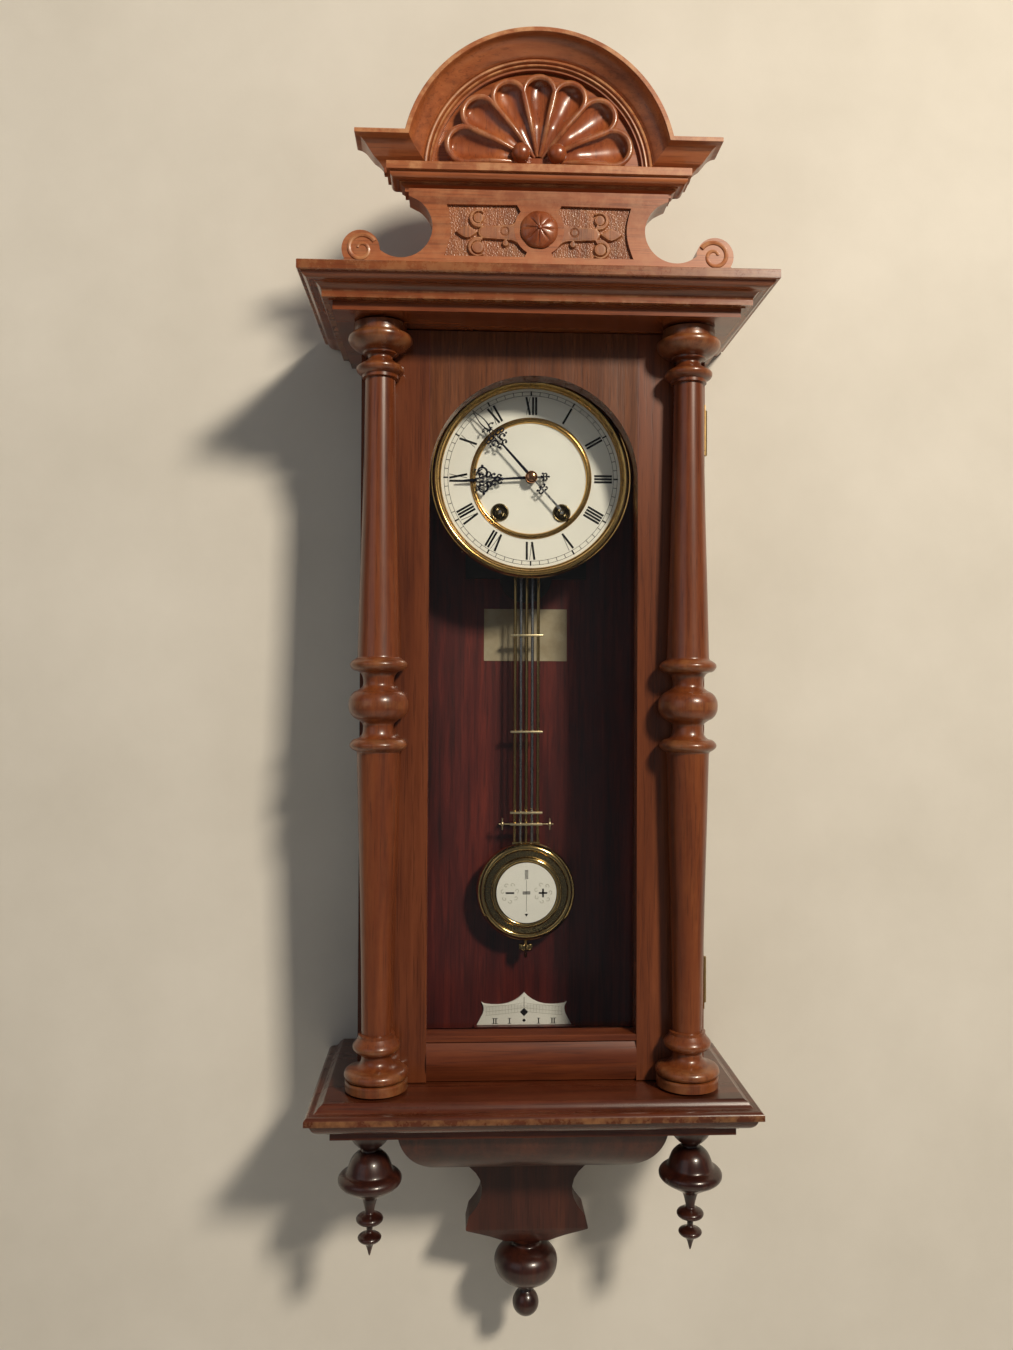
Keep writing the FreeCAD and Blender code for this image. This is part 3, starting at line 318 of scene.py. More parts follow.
def ribbon(path, wide, low, high):
    """A flat strip with softened edges along (x, z) points. wide is half its width, as a number
    or a function of 0..1."""
    count = len(path)
    verts, rows = [], []
    for i, spot in enumerate(path):
        along = (path[min(i + 1, count - 1)] - path[max(i - 1, 0)]).normalized()
        side = Vector((along.y, -along.x))
        w = wide(i / (count - 1)) if callable(wide) else wide
        rows.append(list(range(len(verts), len(verts) + 6)))
        for reach, depth in ((1, 0.5), (0.72, 1), (-0.72, 1), (-1, 0.5), (-0.72, 0), (0.72, 0)):
            verts.append((spot.x + side.x * w * reach, -(low + (high - low) * depth),
                          spot.y + side.y * w * reach))
    return verts, loft(rows)


def arc(x, z, radius, first, last, shrink=1.0, count=14):
    """Points of an arc whose radius grows or shrinks by a factor on the way; angles in degrees."""
    points = []
    for k in range(count + 1):
        t = k / count
        a, r = math.radians(first + (last - first) * t), radius * (1 + (shrink - 1) * t)
        points.append(Vector((x + r * math.cos(a), z + r * math.sin(a))))
    return points


def dot(x, z, radius, low, high):
    """A small rounded stud in front of a plane."""
    swell = [(0, -high), (radius * 0.6, -(high - 0.12)), (radius, -(low + high) / 2),
             (radius, -low)]
    return turned(swell, 14, z, x)


def turned_by(shape, degrees, z=0.0):
    """A shape turned clockwise as seen from the front, then raised."""
    a = math.radians(degrees)
    c, d = math.cos(a), math.sin(a)
    return [(v[0] * c + v[2] * d, v[1], v[2] * c - v[0] * d + z) for v in shape[0]], shape[1]


# ---------------------------------------------------------------- materials

class Nodes:
    """A short way to wire a material's nodes."""

    def __init__(self, name):
        self.material = bpy.data.materials.new(name)
        self.material.use_nodes = True
        self.tree = self.material.node_tree
        self.shader = self.tree.nodes["Principled BSDF"]

    def add(self, kind, **values):
        node = self.tree.nodes.new(kind)
        for key, setting in values.items():
            if key in node.bl_rna.properties:
                setattr(node, key, setting)
            else:
                self.put(node, key, setting)
        return node

    def put(self, node, key, setting):
        socket = node.inputs[int(key[1:])] if key[0] == "_" and key[1:].isdigit() else None
        socket = socket or node.inputs[key.replace("_", " ")]
        if isinstance(setting, bpy.types.NodeSocket):
            self.tree.links.new(setting, socket)
        else:
            socket.default_value = setting

    def set(self, **values):
        for key, setting in values.items():
            self.put(self.shader, key, setting)

    def coords(self, scale=(1, 1, 1), turn=(0, 0, 0)):
        where = self.add("ShaderNodeTexCoord")
        mapping = self.add("ShaderNodeMapping", Vector=where.outputs["Object"], Rotation=turn,
                           Scale=scale)
        return mapping.outputs[0]

    def noise(self, vector, scale, detail=4, rough=0.55, distortion=0.0):
        node = self.add("ShaderNodeTexNoise", Vector=vector, Scale=scale, Detail=detail,
                        Roughness=rough, Distortion=distortion)
        return node.outputs["Fac"]

    def ramp(self, factor, stops, blend="LINEAR"):
        node = self.add("ShaderNodeValToRGB", _0=factor)
        node.color_ramp.interpolation = blend
        elements = node.color_ramp.elements
        while len(elements) < len(stops):
            elements.new(0.5)
        for element, (place, colour) in zip(elements, stops):
            element.position = place
            if isinstance(colour, (int, float)):
                colour = (colour,) * 3
            element.color = (*colour, 1)
        return node.outputs[0]

    def mix(self, a, b, factor, blend="MIX"):
        node = self.add("ShaderNodeMix", data_type="RGBA", blend_type=blend)
        for index, setting in ((0, factor), (6, a), (7, b)):
            if isinstance(setting, bpy.types.NodeSocket):
                self.tree.links.new(setting, node.inputs[index])
            elif index == 0:
                node.inputs[0].default_value = setting
            else:
                node.inputs[index].default_value = (*setting[:3], 1)
        return node.outputs[2]

    def maths(self, operation, a, b=0.0):
        return self.add("ShaderNodeMath", operation=operation, _0=a, _1=b).outputs[0]

    def bump(self, height, strength, distance):
        node = self.add("ShaderNodeBump", Height=height, Strength=strength, Distance=distance)
        return node.outputs[0]


def wood(name, dark, mid, light, grain="Z", gloss=0.25, coat=0.5, figure=1.0, mirror=False,
         worn=(0.50, 0.26, 0.10), streak=38, seed=0.0):
    """Shellacked wood: long streaks, soft figure, open pores, and paler worn arrises."""
    n = Nodes(name)
    along = {"X": (0.07, 1, 1), "Y": (1, 0.07, 1), "Z": (1, 1, 0.07)}[grain]
    base = n.add("ShaderNodeTexCoord").outputs["Object"]
    if mirror:
        parts = n.add("ShaderNodeSeparateXYZ", Vector=base)
        folded = n.maths("ABSOLUTE", parts.outputs[0])
        base = n.add("ShaderNodeCombineXYZ", X=folded, Y=parts.outputs[1],
                     Z=parts.outputs[2]).outputs[0]
    shifted = n.add("ShaderNodeMapping", Vector=base, Location=(seed, seed * 0.7, seed * 1.3),
                    Scale=along).outputs[0]
    bands = n.noise(shifted, streak, 5, 0.55, 0.8 * figure)
    lines = n.noise(shifted, streak * 5, 3, 0.6, 0.5 * figure)
    broad = n.noise(shifted, 9, 3, 0.5, 1.2 * figure)
    grain_mix = n.mix(bands, lines, 0.35)
    colour = n.ramp(grain_mix, [(0.34, dark), (0.5, mid), (0.66, light)])
    tone = n.ramp(broad, [(0.3, (0.72, 0.66, 0.62)), (0.55, (1, 1, 1)), (0.8, (1.18, 1.12, 1.05))])
    colour = n.mix(colour, tone, 0.7, "MULTIPLY")
    fine = n.add("ShaderNodeMapping", Vector=base,
                 Scale=tuple(c if c == 1 else 0.03 for c in along))
    pores = n.noise(fine.outputs[0], 700, 2, 0.6)
    pore_mask = n.ramp(pores, [(0.36, 1), (0.44, 0)])
    colour = n.mix(colour, tuple(c * 0.5 for c in dark), n.maths("MULTIPLY", pore_mask, 0.4))
    wear = n.add("ShaderNodeAttribute", attribute_name="wear").outputs["Fac"]
    patches = n.ramp(n.noise(base, 70, 4, 0.7), [(0.42, 0.1), (0.62, 0.85)])
    rub = n.maths("MULTIPLY", wear, patches)
    colour = n.mix(colour, worn, rub)
    rough = n.ramp(broad, [(0.3, gloss * 0.85), (0.7, gloss * 1.3)])
    rough = n.mix(rough, (0.45,) * 3, rub)
    height = n.mix(grain_mix, pore_mask, 0.5, "SUBTRACT")
    n.set(Base_Color=colour, Roughness=rough, Coat_Weight=coat, Coat_Roughness=0.12,
          Specular_IOR_Level=0.5, Normal=n.bump(height, 0.08, 0.0005))
    return n.material


def metal(name, colour, tarnish, rough=0.22, brushed=None, spots=0.5):
    """Metal with soft tarnish in patches and a faint brushed or cast surface."""
    n = Nodes(name)
    scale = {"X": (0.05, 1, 1), "Z": (1, 1, 0.05), None: (1, 1, 1)}[brushed]
    base = n.coords(scale)
    patch = n.noise(n.coords(), 60, 5, 0.65)
    fine = n.noise(base, 900, 3, 0.6)
    mask = n.ramp(patch, [(0.42, 0), (0.72, 1)])
    colour = n.mix(colour, tarnish, n.maths("MULTIPLY", mask, spots))
    finish = n.ramp(fine, [(0.3, rough * 0.75), (0.7, rough * 1.35)])
    finish = n.mix(finish, (rough * 2.2,) * 3, n.maths("MULTIPLY", mask, spots * 0.5))
    n.set(Base_Color=colour, Metallic=1.0, Roughness=finish, Normal=n.bump(fine, 0.05, 0.0002))
    return n.material


def enamel(name, colour, shade, rough=0.12):
    """Fired enamel, faintly mottled."""
    n = Nodes(name)
    cloud = n.noise(n.coords(), 28, 4, 0.6)
    tone = n.mix(colour, shade, n.ramp(cloud, [(0.35, 0), (0.75, 1)]))
    ripple = n.noise(n.coords(), 160, 3, 0.5)
    n.set(Base_Color=tone, Roughness=rough, Coat_Weight=0.6, Coat_Roughness=0.05,
          Normal=n.bump(ripple, 0.03, 0.0004))
    return n.material


def plain(name, colour, other, rough=0.5, scale=80):
    """A two-tone mottled surface."""
    n = Nodes(name)
    cloud = n.noise(n.coords(), scale, 5, 0.6)
    tone = n.mix(colour, other, n.ramp(cloud, [(0.35, 0), (0.7, 1)]))
    n.set(Base_Color=tone, Roughness=rough, Normal=n.bump(cloud, 0.1, 0.0003))
    return n.material


def glass(name):
    """Thin clear pane with a faint sheen and a trace of dust."""
    n = Nodes(name)
    clear = n.add("ShaderNodeBsdfTransparent", Color=(0.965, 0.975, 0.97, 1))
    shine = n.add("ShaderNodeBsdfGlossy", Color=(1, 1, 1, 1), Roughness=0.04)
    edge = n.add("ShaderNodeFresnel", IOR=1.35)
    dust = n.ramp(n.noise(n.coords(), 14, 4, 0.6), [(0.3, 0.9), (0.7, 1.2)])
    factor = n.maths("MULTIPLY", n.maths("MULTIPLY", edge.outputs[0], 0.9), dust)
    both = n.add("ShaderNodeMixShader", _0=factor, _1=clear.outputs[0], _2=shine.outputs[0])
    n.tree.links.new(both.outputs[0], n.tree.nodes["Material Output"].inputs[0])
    return n.material


CASE = wood("case_walnut", (0.022, 0.005, 0.0025), (0.052, 0.011, 0.005), (0.088, 0.021, 0.008),
            gloss=0.4, coat=0.08)
BASE = wood("base_walnut", (0.038, 0.008, 0.003), (0.086, 0.018, 0.007), (0.135, 0.031, 0.011),
            grain="X", coat=0.3, seed=3.7)
CASE_X = wood("case_walnut_long", (0.085, 0.017, 0.0050), (0.185, 0.042, 0.011),
              (0.27, 0.072, 0.020), grain="X", seed=3.1, coat=0.4)
DOOR = wood("door_walnut", (0.080, 0.019, 0.006), (0.140, 0.036, 0.011), (0.19, 0.053, 0.017),
            seed=1.7, coat=0.25)
RAIL = wood("door_veneer", (0.090, 0.029, 0.011), (0.135, 0.044, 0.016), (0.18, 0.062, 0.023),
            grain="Z", figure=3.5, mirror=True, seed=0.6, streak=90, coat=0.2)
TURNED = wood("turned_walnut", (0.078, 0.016, 0.005), (0.155, 0.037, 0.010), (0.23, 0.063, 0.016),
              gloss=0.28, coat=0.3, seed=4.4, streak=30)
TURNED_X = wood("cushion_walnut", (0.068, 0.014, 0.005), (0.132, 0.030, 0.009),
                (0.195, 0.050, 0.014), grain="X", gloss=0.28, coat=0.3, seed=9.4)
DROPS = wood("drop_walnut", (0.012, 0.003, 0.0025), (0.032, 0.008, 0.005), (0.065, 0.017, 0.008),
             gloss=0.3, coat=0.3, seed=2.4)
CREST = wood("crest_walnut", (0.20, 0.050, 0.014), (0.34, 0.096, 0.029), (0.45, 0.145, 0.046),
             grain="X", gloss=0.32, coat=0.35, seed=5.2, worn=(0.56, 0.28, 0.12))
CARVED = wood("carved_walnut", (0.16, 0.034, 0.010), (0.28, 0.066, 0.019), (0.38, 0.108, 0.032),
              gloss=0.30, coat=0.35, seed=6.1, worn=(0.56, 0.28, 0.12))
GROUND = wood("punched_ground", (0.11, 0.030, 0.010), (0.24, 0.072, 0.024), (0.36, 0.12, 0.044),
              gloss=0.45, coat=0.1, seed=7.7, worn=(0.50, 0.24, 0.10))
INSIDE = wood("inner_mahogany", (0.030, 0.0030, 0.0030), (0.085, 0.009, 0.007),
              (0.17, 0.022, 0.013), gloss=0.35, coat=0.2, streak=46, seed=8.3)
BEZEL = metal("bezel_brass", (0.70, 0.44, 0.15), (0.30, 0.16, 0.05), 0.16)
BRASS = metal("bob_brass", (0.62, 0.43, 0.17), (0.30, 0.19, 0.07), 0.13, spots=0.4)
BRIGHT = metal("bar_brass", (0.95, 0.80, 0.50), (0.70, 0.52, 0.26), 0.30, spots=0.3)
PLATE = metal("plate_brass", (0.58, 0.40, 0.17), (0.26, 0.16, 0.06), 0.32, "X")
WHEEL = metal("wheel_brass", (0.66, 0.47, 0.2), (0.36, 0.22, 0.09), 0.25)
DULL = metal("hinge_brass", (0.40, 0.27, 0.11), (0.14, 0.08, 0.03), 0.38)
STEEL = metal("spring_steel", (0.42, 0.43, 0.45), (0.2, 0.18, 0.16), 0.24, "Z")
BLUED = metal("blued_steel", (0.018, 0.020, 0.035), (0.03, 0.025, 0.03), 0.3)
ENAMEL = enamel("cream_enamel", (0.94, 0.93, 0.87), (0.89, 0.88, 0.82))
COPPER = metal("boss_copper", (0.62, 0.30, 0.16), (0.34, 0.14, 0.07), 0.14, spots=0.4)
# Dark brass; on the bob's valley this darkness is painted shade in the groove.
DARK_BRASS = metal("collet_brass", (0.26, 0.20, 0.10), (0.10, 0.07, 0.03), 0.22)
FADED = plain("faint_print", (0.42, 0.41, 0.34), (0.50, 0.49, 0.42), 0.3)
INK = plain("fired_black", (0.006, 0.006, 0.007), (0.02, 0.018, 0.018), 0.25)
IRON = plain("black_iron", (0.012, 0.012, 0.012), (0.03, 0.028, 0.026), 0.5)
CARD = plain("old_paper", (0.42, 0.36, 0.25), (0.30, 0.24, 0.15), 0.85, 60)
GLASS = glass("pane_glass")


def dress(node, material):
    """Give a CAD node a better material."""
    NODES[node].data.materials.clear()
    NODES[node].data.materials.append(material)


# ---------------------------------------------------------------- case

CORNICE = [(3, -26, 1.3), (10, -31, -1.8), (18, -36.5), (18, -37.5), (18, -41.5), (23, -41.5),
           (23, -42.5), (26, -42.5), (26, -49)]


def moulding(name, node, material, steps, worn, size_from=None):
    """A mitred moulding: (inset, z) steps cut round a node's width and depth, with wear worked
    out from each point's height."""
    low, high = span(size_from or node)
    shape = mitred([(high[0] - p.x, p.y) for p in steps], [(-low[1] - p.x, p.y) for p in steps],
                   -high[1])
    piece(name, *shape, material, slot="crest_wood" if material is CREST else "case_wood",
          stands_for=[node], wear=[worn(v[2]) for v in shape[0]])


def make_cornice():
    low, high = span("cornice_top_slab")
    lip = run([(0.6, high[2]), (0, high[2] - 0.6), (0, low[2] + 0.8), (0.8, low[2])])
    moulding("cornice_slab_top", "cornice_top_slab", CASE_X, lip, lambda z: 0.3)
    moulding("cornice_profile", "cornice_moulding", CASE_X, run(CORNICE, 0.7),
             lambda z: 0.35 if -36.6 < z < -35.6 or -41.6 < z < -40.6 else 0.03,
             size_from="cornice_top_slab")


def make_base():
    steps = run([(14, -697), (10.5, -699.5, -0.9), (5.5, -703.5, 1), (0, -706.5), (0, -711),
                 (4, -711.2, 3.5), (17, -721), (17, -723), (19, -723.2), (19, -729)], 0.7)
    moulding("base_profile", "base_moulding", BASE, steps,
             lambda z: 0.4 if -707 < z < -706 or z == -711 else 0.03)


NECK = [(73, -770), (72, -779), (60.5, -786.5), (52.5, -791.2), (46.6, -796.8), (42.7, -803),
        (40.9, -810), (41.2, -815.5), (42.6, -821), (45.6, -827), (49.6, -832.2), (52.4, -835.4),
        (53, -837), (55.5, -847.6)]
CAP = [(55.5, 70, -847.6), (55, 69.8, -848.8), (51, 69.2, -850.2), (46, 68.8, -851.6),
       (40, 68, -853.4), (34, 67, -855.4), (28, 66, -857.8), (20, 64, -861.5)]
NECK_BACK, NECK_FRONT = 40, 70      # the sawn board's distances from the wall


def make_bracket():
    """The apron, then the sawn neck board in front of the wall and the cap below it."""
    front = run([(113, -729), (112.5, -733, -6), (81, -770)], 1)
    shape = mitred([(p.x, p.y) for p in front], [(p.x + 37, p.y) for p in front])
    piece("bracket_body", *shape, CASE, slot="case_wood", stands_for=["bracket_apron"])
    board = mitred(NECK, [(NECK_FRONT, z) for _, z in NECK], NECK_BACK)
    cap = mitred([(w, z) for w, _, z in CAP], [(d, z) for _, d, z in CAP], NECK_BACK)
    piece("bracket_end_block", *merged([board, cap]), CASE, slot="case_wood",
          stands_for=["bracket_console"])


def make_case():
    dress("side_frames", CASE)
    dress("back_board", INSIDE)
    dress("side_glass_panes", GLASS)
    dress("hanger_plate", IRON)
    dress("case_hinge_leaves", DULL)
    make_cornice()
    make_base()
    make_bracket()


COLUMN = [(25.3, 0), (24.9, 4), (23.2, 8), (21, 10.5), (19.5, 11.5), (18.3, 12), (15.2, 14),
          (13.4, 16), (12.8, 18.5), (13.6, 24), (15.5, 27), (18, 28.5), (20.5, 29), (22.9, 31),
          (24.2, 33.5), (23.4, 36), (21, 38), (19.6, 38.8), (18.3, 39.8), (17.9, 42)]
SHAFT = [(16.4, 100), (14.7, 160), (13.4, 220), (12.7, 276), (15.3, 276.4), (15.3, 279)]
CAPITAL = [(17, 279.8), (19.4, 281.6), (20.3, 284), (19.6, 286.2), (17, 288), (13.6, 290),
           (11, 292.2), (10.3, 294.4), (11.4, 296), (14.6, 297), (14.8, 298.6), (17.2, 299.4),
           (20.5, 301), (23.8, 303.4), (26.2, 306.2), (27.1, 309), (26.3, 312), (24, 313.3),
           (22.4, 313.6), (22.2, 318), (22.2, 322)]
FOOT = [(17, 281.5), (19.4, 284.5), (20, 286.5), (19, 289.5), (16.5, 291.5), (13.5, 293),
        (12.6, 296), (13.5, 300), (17, 303), (22, 304.5), (25.5, 306), (27.1, 309), (26.3, 312),
        (24, 313.3), (22.8, 313.6), (26, 314.4), (26.2, 318), (26.2, 322)]


COLUMN_HALF, COLUMN_Y = 322, -134.4      # half the column's length, and where its axis stands


def make_columns():
    middle, shaft = flow(COLUMN, 3), [Vector(p) for p in SHAFT]
    for side in ("left", "right"):
        low, high = span(f"{side}_column")
        x, z = (low[0] + high[0]) / 2, (low[2] + high[2]) / 2
        y, back = COLUMN_Y, high[1]
        upper, lower = (middle + shaft + flow(end, 3) for end in (CAPITAL, FOOT))
        profile = [(0, -COLUMN_HALF)] + [(p.x, -p.y) for p in reversed(lower)] + \
                  [(p.x, p.y) for p in upper[1:]] + [(0, COLUMN_HALF)]
        verts, faces = lathe(profile, 64)
        verts = [(v[0], min(v[1], back - y), v[2]) for v in verts]
        wear = [0.22 if math.hypot(v[0], v[1]) > 19.5 and abs(v[2]) > 25 or
                abs(v[2]) < 3 and math.hypot(v[0], v[1]) > 20 else 0.03 for v in verts]
        piece(f"{side}_turned_column", *moved((verts, faces), x, y, z), TURNED, "door",
              "door_wood", [f"{side}_column"], wear=wear)


def make_bottom_rail():
    """The rail below the glass: a narrow ledge over a full cushion moulding."""
    low, high = span("door_bottom_rail")
    front, back, half = -low[1], -high[1], high[0]
    ledge = high[2]
    section = [Vector((back, low[2])), Vector((back, ledge)), Vector((front - 3.4, ledge)),
               Vector((front - 2.6, ledge - 0.8)), Vector((front - 2.6, ledge - 5)),
               Vector((front - 4.4, ledge - 5.8))]
    height = ledge - 6.4 - low[2]
    cushion = 4.6
    section += [Vector((front - cushion + cushion * math.sin(math.pi * k / 20),
                        ledge - 6.4 - height * k / 20)) for k in range(21)]
    verts = [(x, -p.x, p.y) for x in (-half, half) for p in section]
    piece("door_cushion_rail", verts, prism(len(section)), TURNED_X, "door", "door_wood",
          ["door_bottom_rail"])


def make_door():
    for node, material in (("door_stiles", DOOR), ("door_top_rail", RAIL), ("door_glass", GLASS),
                           ("glazing_beads", DOOR), ("door_hinge_leaves", DULL)):
        dress(node, material)
    make_bottom_rail()
    low, high = span("door_top_rail")
    face = low[1]
    lines = [(low[0], low[2]), (high[0], low[2]), (0, high[2] - 26)]
    seams = [block(x - 0.22, x + 0.22, face - 0.06, face + 0.3, bottom, high[2], 0)
             for x, bottom in lines]
    piece("rail_seams", *merged(seams), INSIDE, "door", "door_wood")
    make_columns()


DROP_BRIM = 27.3      # widest radius of a side drop
DROP = [(0, 0), (19, 0), (18.5, -8), (16.6, -13), (12.4, -18.4), (8.8, -21.2), (7.1, -22.5),
        (7.1, -24.3), (8.7, -24.9), (11.6, -26.6), (15.4, -30.5), (17.8, -35.5), (19.5, -40.6),
        (20.8, -42.3), (23.6, -43.4), (26.3, -45.6), (27.2, -48.4), (26.2, -51.6), (22.4, -54.8),
        (18.7, -56.8), (13.7, -60), (9.5, -62.4), (7.1, -64.2), (6.2, -66.2), (4.7, -71.5),
        (3.9, -76.4), (4.6, -77.7), (7, -78.7), (10.3, -80.2), (11.6, -82.5), (10.3, -85),
        (5.6, -87), (3, -88.6), (2.6, -91), (2.7, -93.4), (4.6, -94.7), (8.4, -96.2), (10.1, -98.3),
        (8.6, -100.8), (5.2, -102.8), (3.3, -104.8), (1.7, -109.5), (0.6, -113.4), (0, -114)]
CENTRE_DROP = [(0, 0), (16, 0), (14.2, -1.4), (12.8, -3.6), (13, -5.8), (16, -7.2), (20, -8.6),
               (24, -10.8), (27, -14.2), (28.7, -18.6), (28.9, -22.6), (27.6, -28.6), (24.8, -33.2),
               (20.6, -37.2), (15.6, -40), (9.8, -42.4), (6.8, -44.6), (6, -47), (6.8, -49),
               (9, -51.4), (11, -55), (12, -59.6), (11.2, -64.4), (8.6, -68.4), (4.6, -71.2),
               (0, -72)]


def turned_drop(profile):
    """A drop's solid: a flat seat, then a flowing outline down to the tip."""
    curve = [Vector(p) for p in profile[:2]] + flow(profile[1:], 3)[1:]
    return lathe([(max(p.x, 0), p.y) for p in curve], 64)


def make_drops():
    low, high = span("side_drop_finials")
    x, y, top = high[0] - DROP_BRIM, (low[1] + high[1]) / 2, high[2]
    shape = turned_drop(DROP)
    piece("side_drops", *merged([moved(shape, side * x, y, top) for side in (-1, 1)]), DROPS,
          slot="case_wood", stands_for=["side_drop_finials"])
    low, high = span("centre_drop_finial")
    shape = moved(turned_drop(CENTRE_DROP), 0, (low[1] + high[1]) / 2, high[2])
    piece("centre_drop", *shape, DROPS, slot="case_wood", stands_for=["centre_drop_finial"])


def make_inside():
    looks = ((IRON, "movement_bracket"), (INSIDE, "beat_scale_block"), (CARD, "paper_label"),
             (PLATE, "front_plate back_plate dial_back_plate"),
             (WHEEL, "time_barrel strike_barrel strike_fly time_second_wheel centre_arbor "
                     "third_wheel escape_wheel strike_pin_wheel minute_wheel hour_wheel"),
             (STEEL, "coil_gong anchor_and_crutch strike_hammer time_winding_arbor "
                     "strike_winding_arbor suspension_spring"))
    for material, nodes in looks:
        for node in nodes.split():
            dress(node, material)


# ---------------------------------------------------------------- dial and hands

DIAL_Z = -169
WINDING_X, WINDING_Z = 28, DIAL_Z - 31
PRINT = 81.95, 82.12      # the back and the face of what is printed on the hour ring
NUMERALS = ("XII", "I", "II", "III", "IIII", "V", "VI", "VII", "VIII", "IX", "X", "XI")


def numeral(text):
    """The bars of a Roman numeral standing on r = 57.4, thick and thin as a pen makes them."""
    width = {"I": 0, "V": 4.2, "X": 3.4}
    total = sum(width[c] for c in text) + 2.75 * (len(text) - 1)
    u, bars = -total / 2, []
    foot, top = 57.4, 73.6
    for letter in text:
        if letter == "I":
            bars.append(stroke((u, foot), (u, top), 1.95))
        elif letter == "V":
            bars.append(stroke((u, top), (u + 2.3, foot), 1.95))
            bars.append(stroke((u + 2.6, foot), (u + 4.3, top), 0.45))
        else:
            bars.append(stroke((u, top), (u + 3.4, foot), 1.95))
            bars.append(stroke((u, foot), (u + 3.4, top), 0.45))
        u += width[letter] + 2.75
    return bars


def hoop(radius, wide, low, high, segments=180):
    """A thin flat hoop round the dial's centre."""
    profile = [(radius - wide / 2, -low), (radius - wide / 2, -high), (radius + wide / 2, -high),
               (radius + wide / 2, -low)]
    return lathe(profile, segments, "Y")


def make_print():
    """Numerals and the minute track, as fired enamel that stands a hair above the dial."""
    shapes = []
    for hour, text in enumerate(NUMERALS):
        shapes.append(turned_by(plates(numeral(text), *PRINT), 30 * hour, DIAL_Z))
    for minute in range(60):
        bars = [stroke((0, 74.9), (0, 78.2), 0.5)]
        if minute % 5 == 0:
            bars = [stroke((0, 74.6), (0, 78.9), 1.3)]
        shapes.append(turned_by(plates(bars, *PRINT), 6 * minute, DIAL_Z))
    for radius in (74.8, 78.3):
        shapes.append(moved(hoop(radius, 0.34, 81.95, 82.1), 0, 0, DIAL_Z))
    piece("dial_numerals", *merged(shapes), INK, slot="enamel")


def make_dial():
    ring = [(54, -80.2), (54, -82), (81, -82), (81, -80.2)]
    piece("dial_hour_ring", *turned(ring, 128, DIAL_Z), ENAMEL, slot="enamel",
          stands_for=["dial_chapter_ring"])
    dress("dial_centre_disc", ENAMEL)
    bezel = flow([(90.2, -77), (90.2, -83.5), (89.4, -86), (87.6, -87.6), (85.6, -87.8),
                  (84, -86.9)], 4)
    bezel += flow([(83.8, -86.2), (82.9, -84.4), (81.6, -83.3)], 3)
    bezel += [Vector((81.1, -82)), Vector((81.1, -77))]
    piece("dial_bezel_ring", *turned(bezel, 160, DIAL_Z), BEZEL, slot="bezel_brass",
          stands_for=["dial_bezel"])
    bead = flow([(55, -82), (54.8, -82.9), (54, -83.3)], 3) + \
        flow([(53.8, -83.2), (52.8, -84), (51.6, -83.9), (50.7, -83.1)], 4) + \
        [Vector((50.4, -82.2)), Vector((49.9, -81.2))]
    piece("dial_inner_bead", *turned(bead, 128, DIAL_Z), BEZEL, slot="bezel_brass",
          stands_for=["dial_brass_trim"])
    cup = flow([(2.95, -78.4), (3, -79.2), (4.4, -79.8), (5.6, -81.2), (6.5, -82.5), (7.2, -83),
                (7.9, -82.6), (8.25, -81.2)], 3) + [Vector((6.5, -81.1)), Vector((6.5, -78))]
    cups = [turned(cup, 48, WINDING_Z, x) for x in (-WINDING_X, WINDING_X)]
    piece("winding_cups", *merged(cups), DARK_BRASS, slot="bezel_brass")
    for side, name in ((-1, "strike"), (1, "time")):
        low, high = span(f"{name}_winding_arbor")
        half, journal_radius, round_part = 1.95, 1.9, 34
        front, back = -low[1], -high[1]
        square = [(half, -(back + round_part)), (half, -(front - 1)), (half * 0.6, -front),
                  (0, -front)]
        tip = lathe(square, 4, "Y")
        tip = turned_by(([(v[0] * 1.38, v[1], v[2] * 1.38) for v in tip[0]], tip[1]), 45)
        end = back + round_part + 0.2
        journal = lathe([(0, -back), (journal_radius, -back), (journal_radius, -end), (0, -end)],
                        24, "Y")
        shape = moved(merged([tip, journal]), side * WINDING_X, 0, WINDING_Z)
        piece(f"{name}_winding_square", *shape, STEEL, f"{name}_winder", "spring_steel",
              [f"{name}_winding_arbor"])
    make_print()


def both(shapes):
    """Shapes and their mirror images about the hand's own line."""
    flip = [([(-v[0], v[1], v[2]) for v in verts], [tuple(reversed(f)) for f in faces])
            for verts, faces in shapes]
    return shapes + flip


def curl(x, z, radius, first, last, wide, low, high, shrink=0.45):
    """A scroll that thins and tightens towards its end, with a stud where it stops."""
    path = arc(x, z, radius, first, last, shrink)
    end = path[-1]
    wide *= 1.6
    return [ribbon(path, lambda t: wide * (1 - 0.45 * t), low, high),
            dot(end.x, end.y, wide * 1.25, low, high)]


HOUR_HAND, MINUTE_HAND = (86, 86.9), (88.6, 89.5)      # the back and the face of each hand
HOUR_TURN, MINUTE_TURN = 266.5, 318                     # degrees clockwise from twelve


def curls(low, high, *table):
    """Scrolls given as (x, z, radius, first angle, last angle, half width[, shrink])."""
    return [part for row in table for part in curl(*row[:6], low, high, *row[6:])]


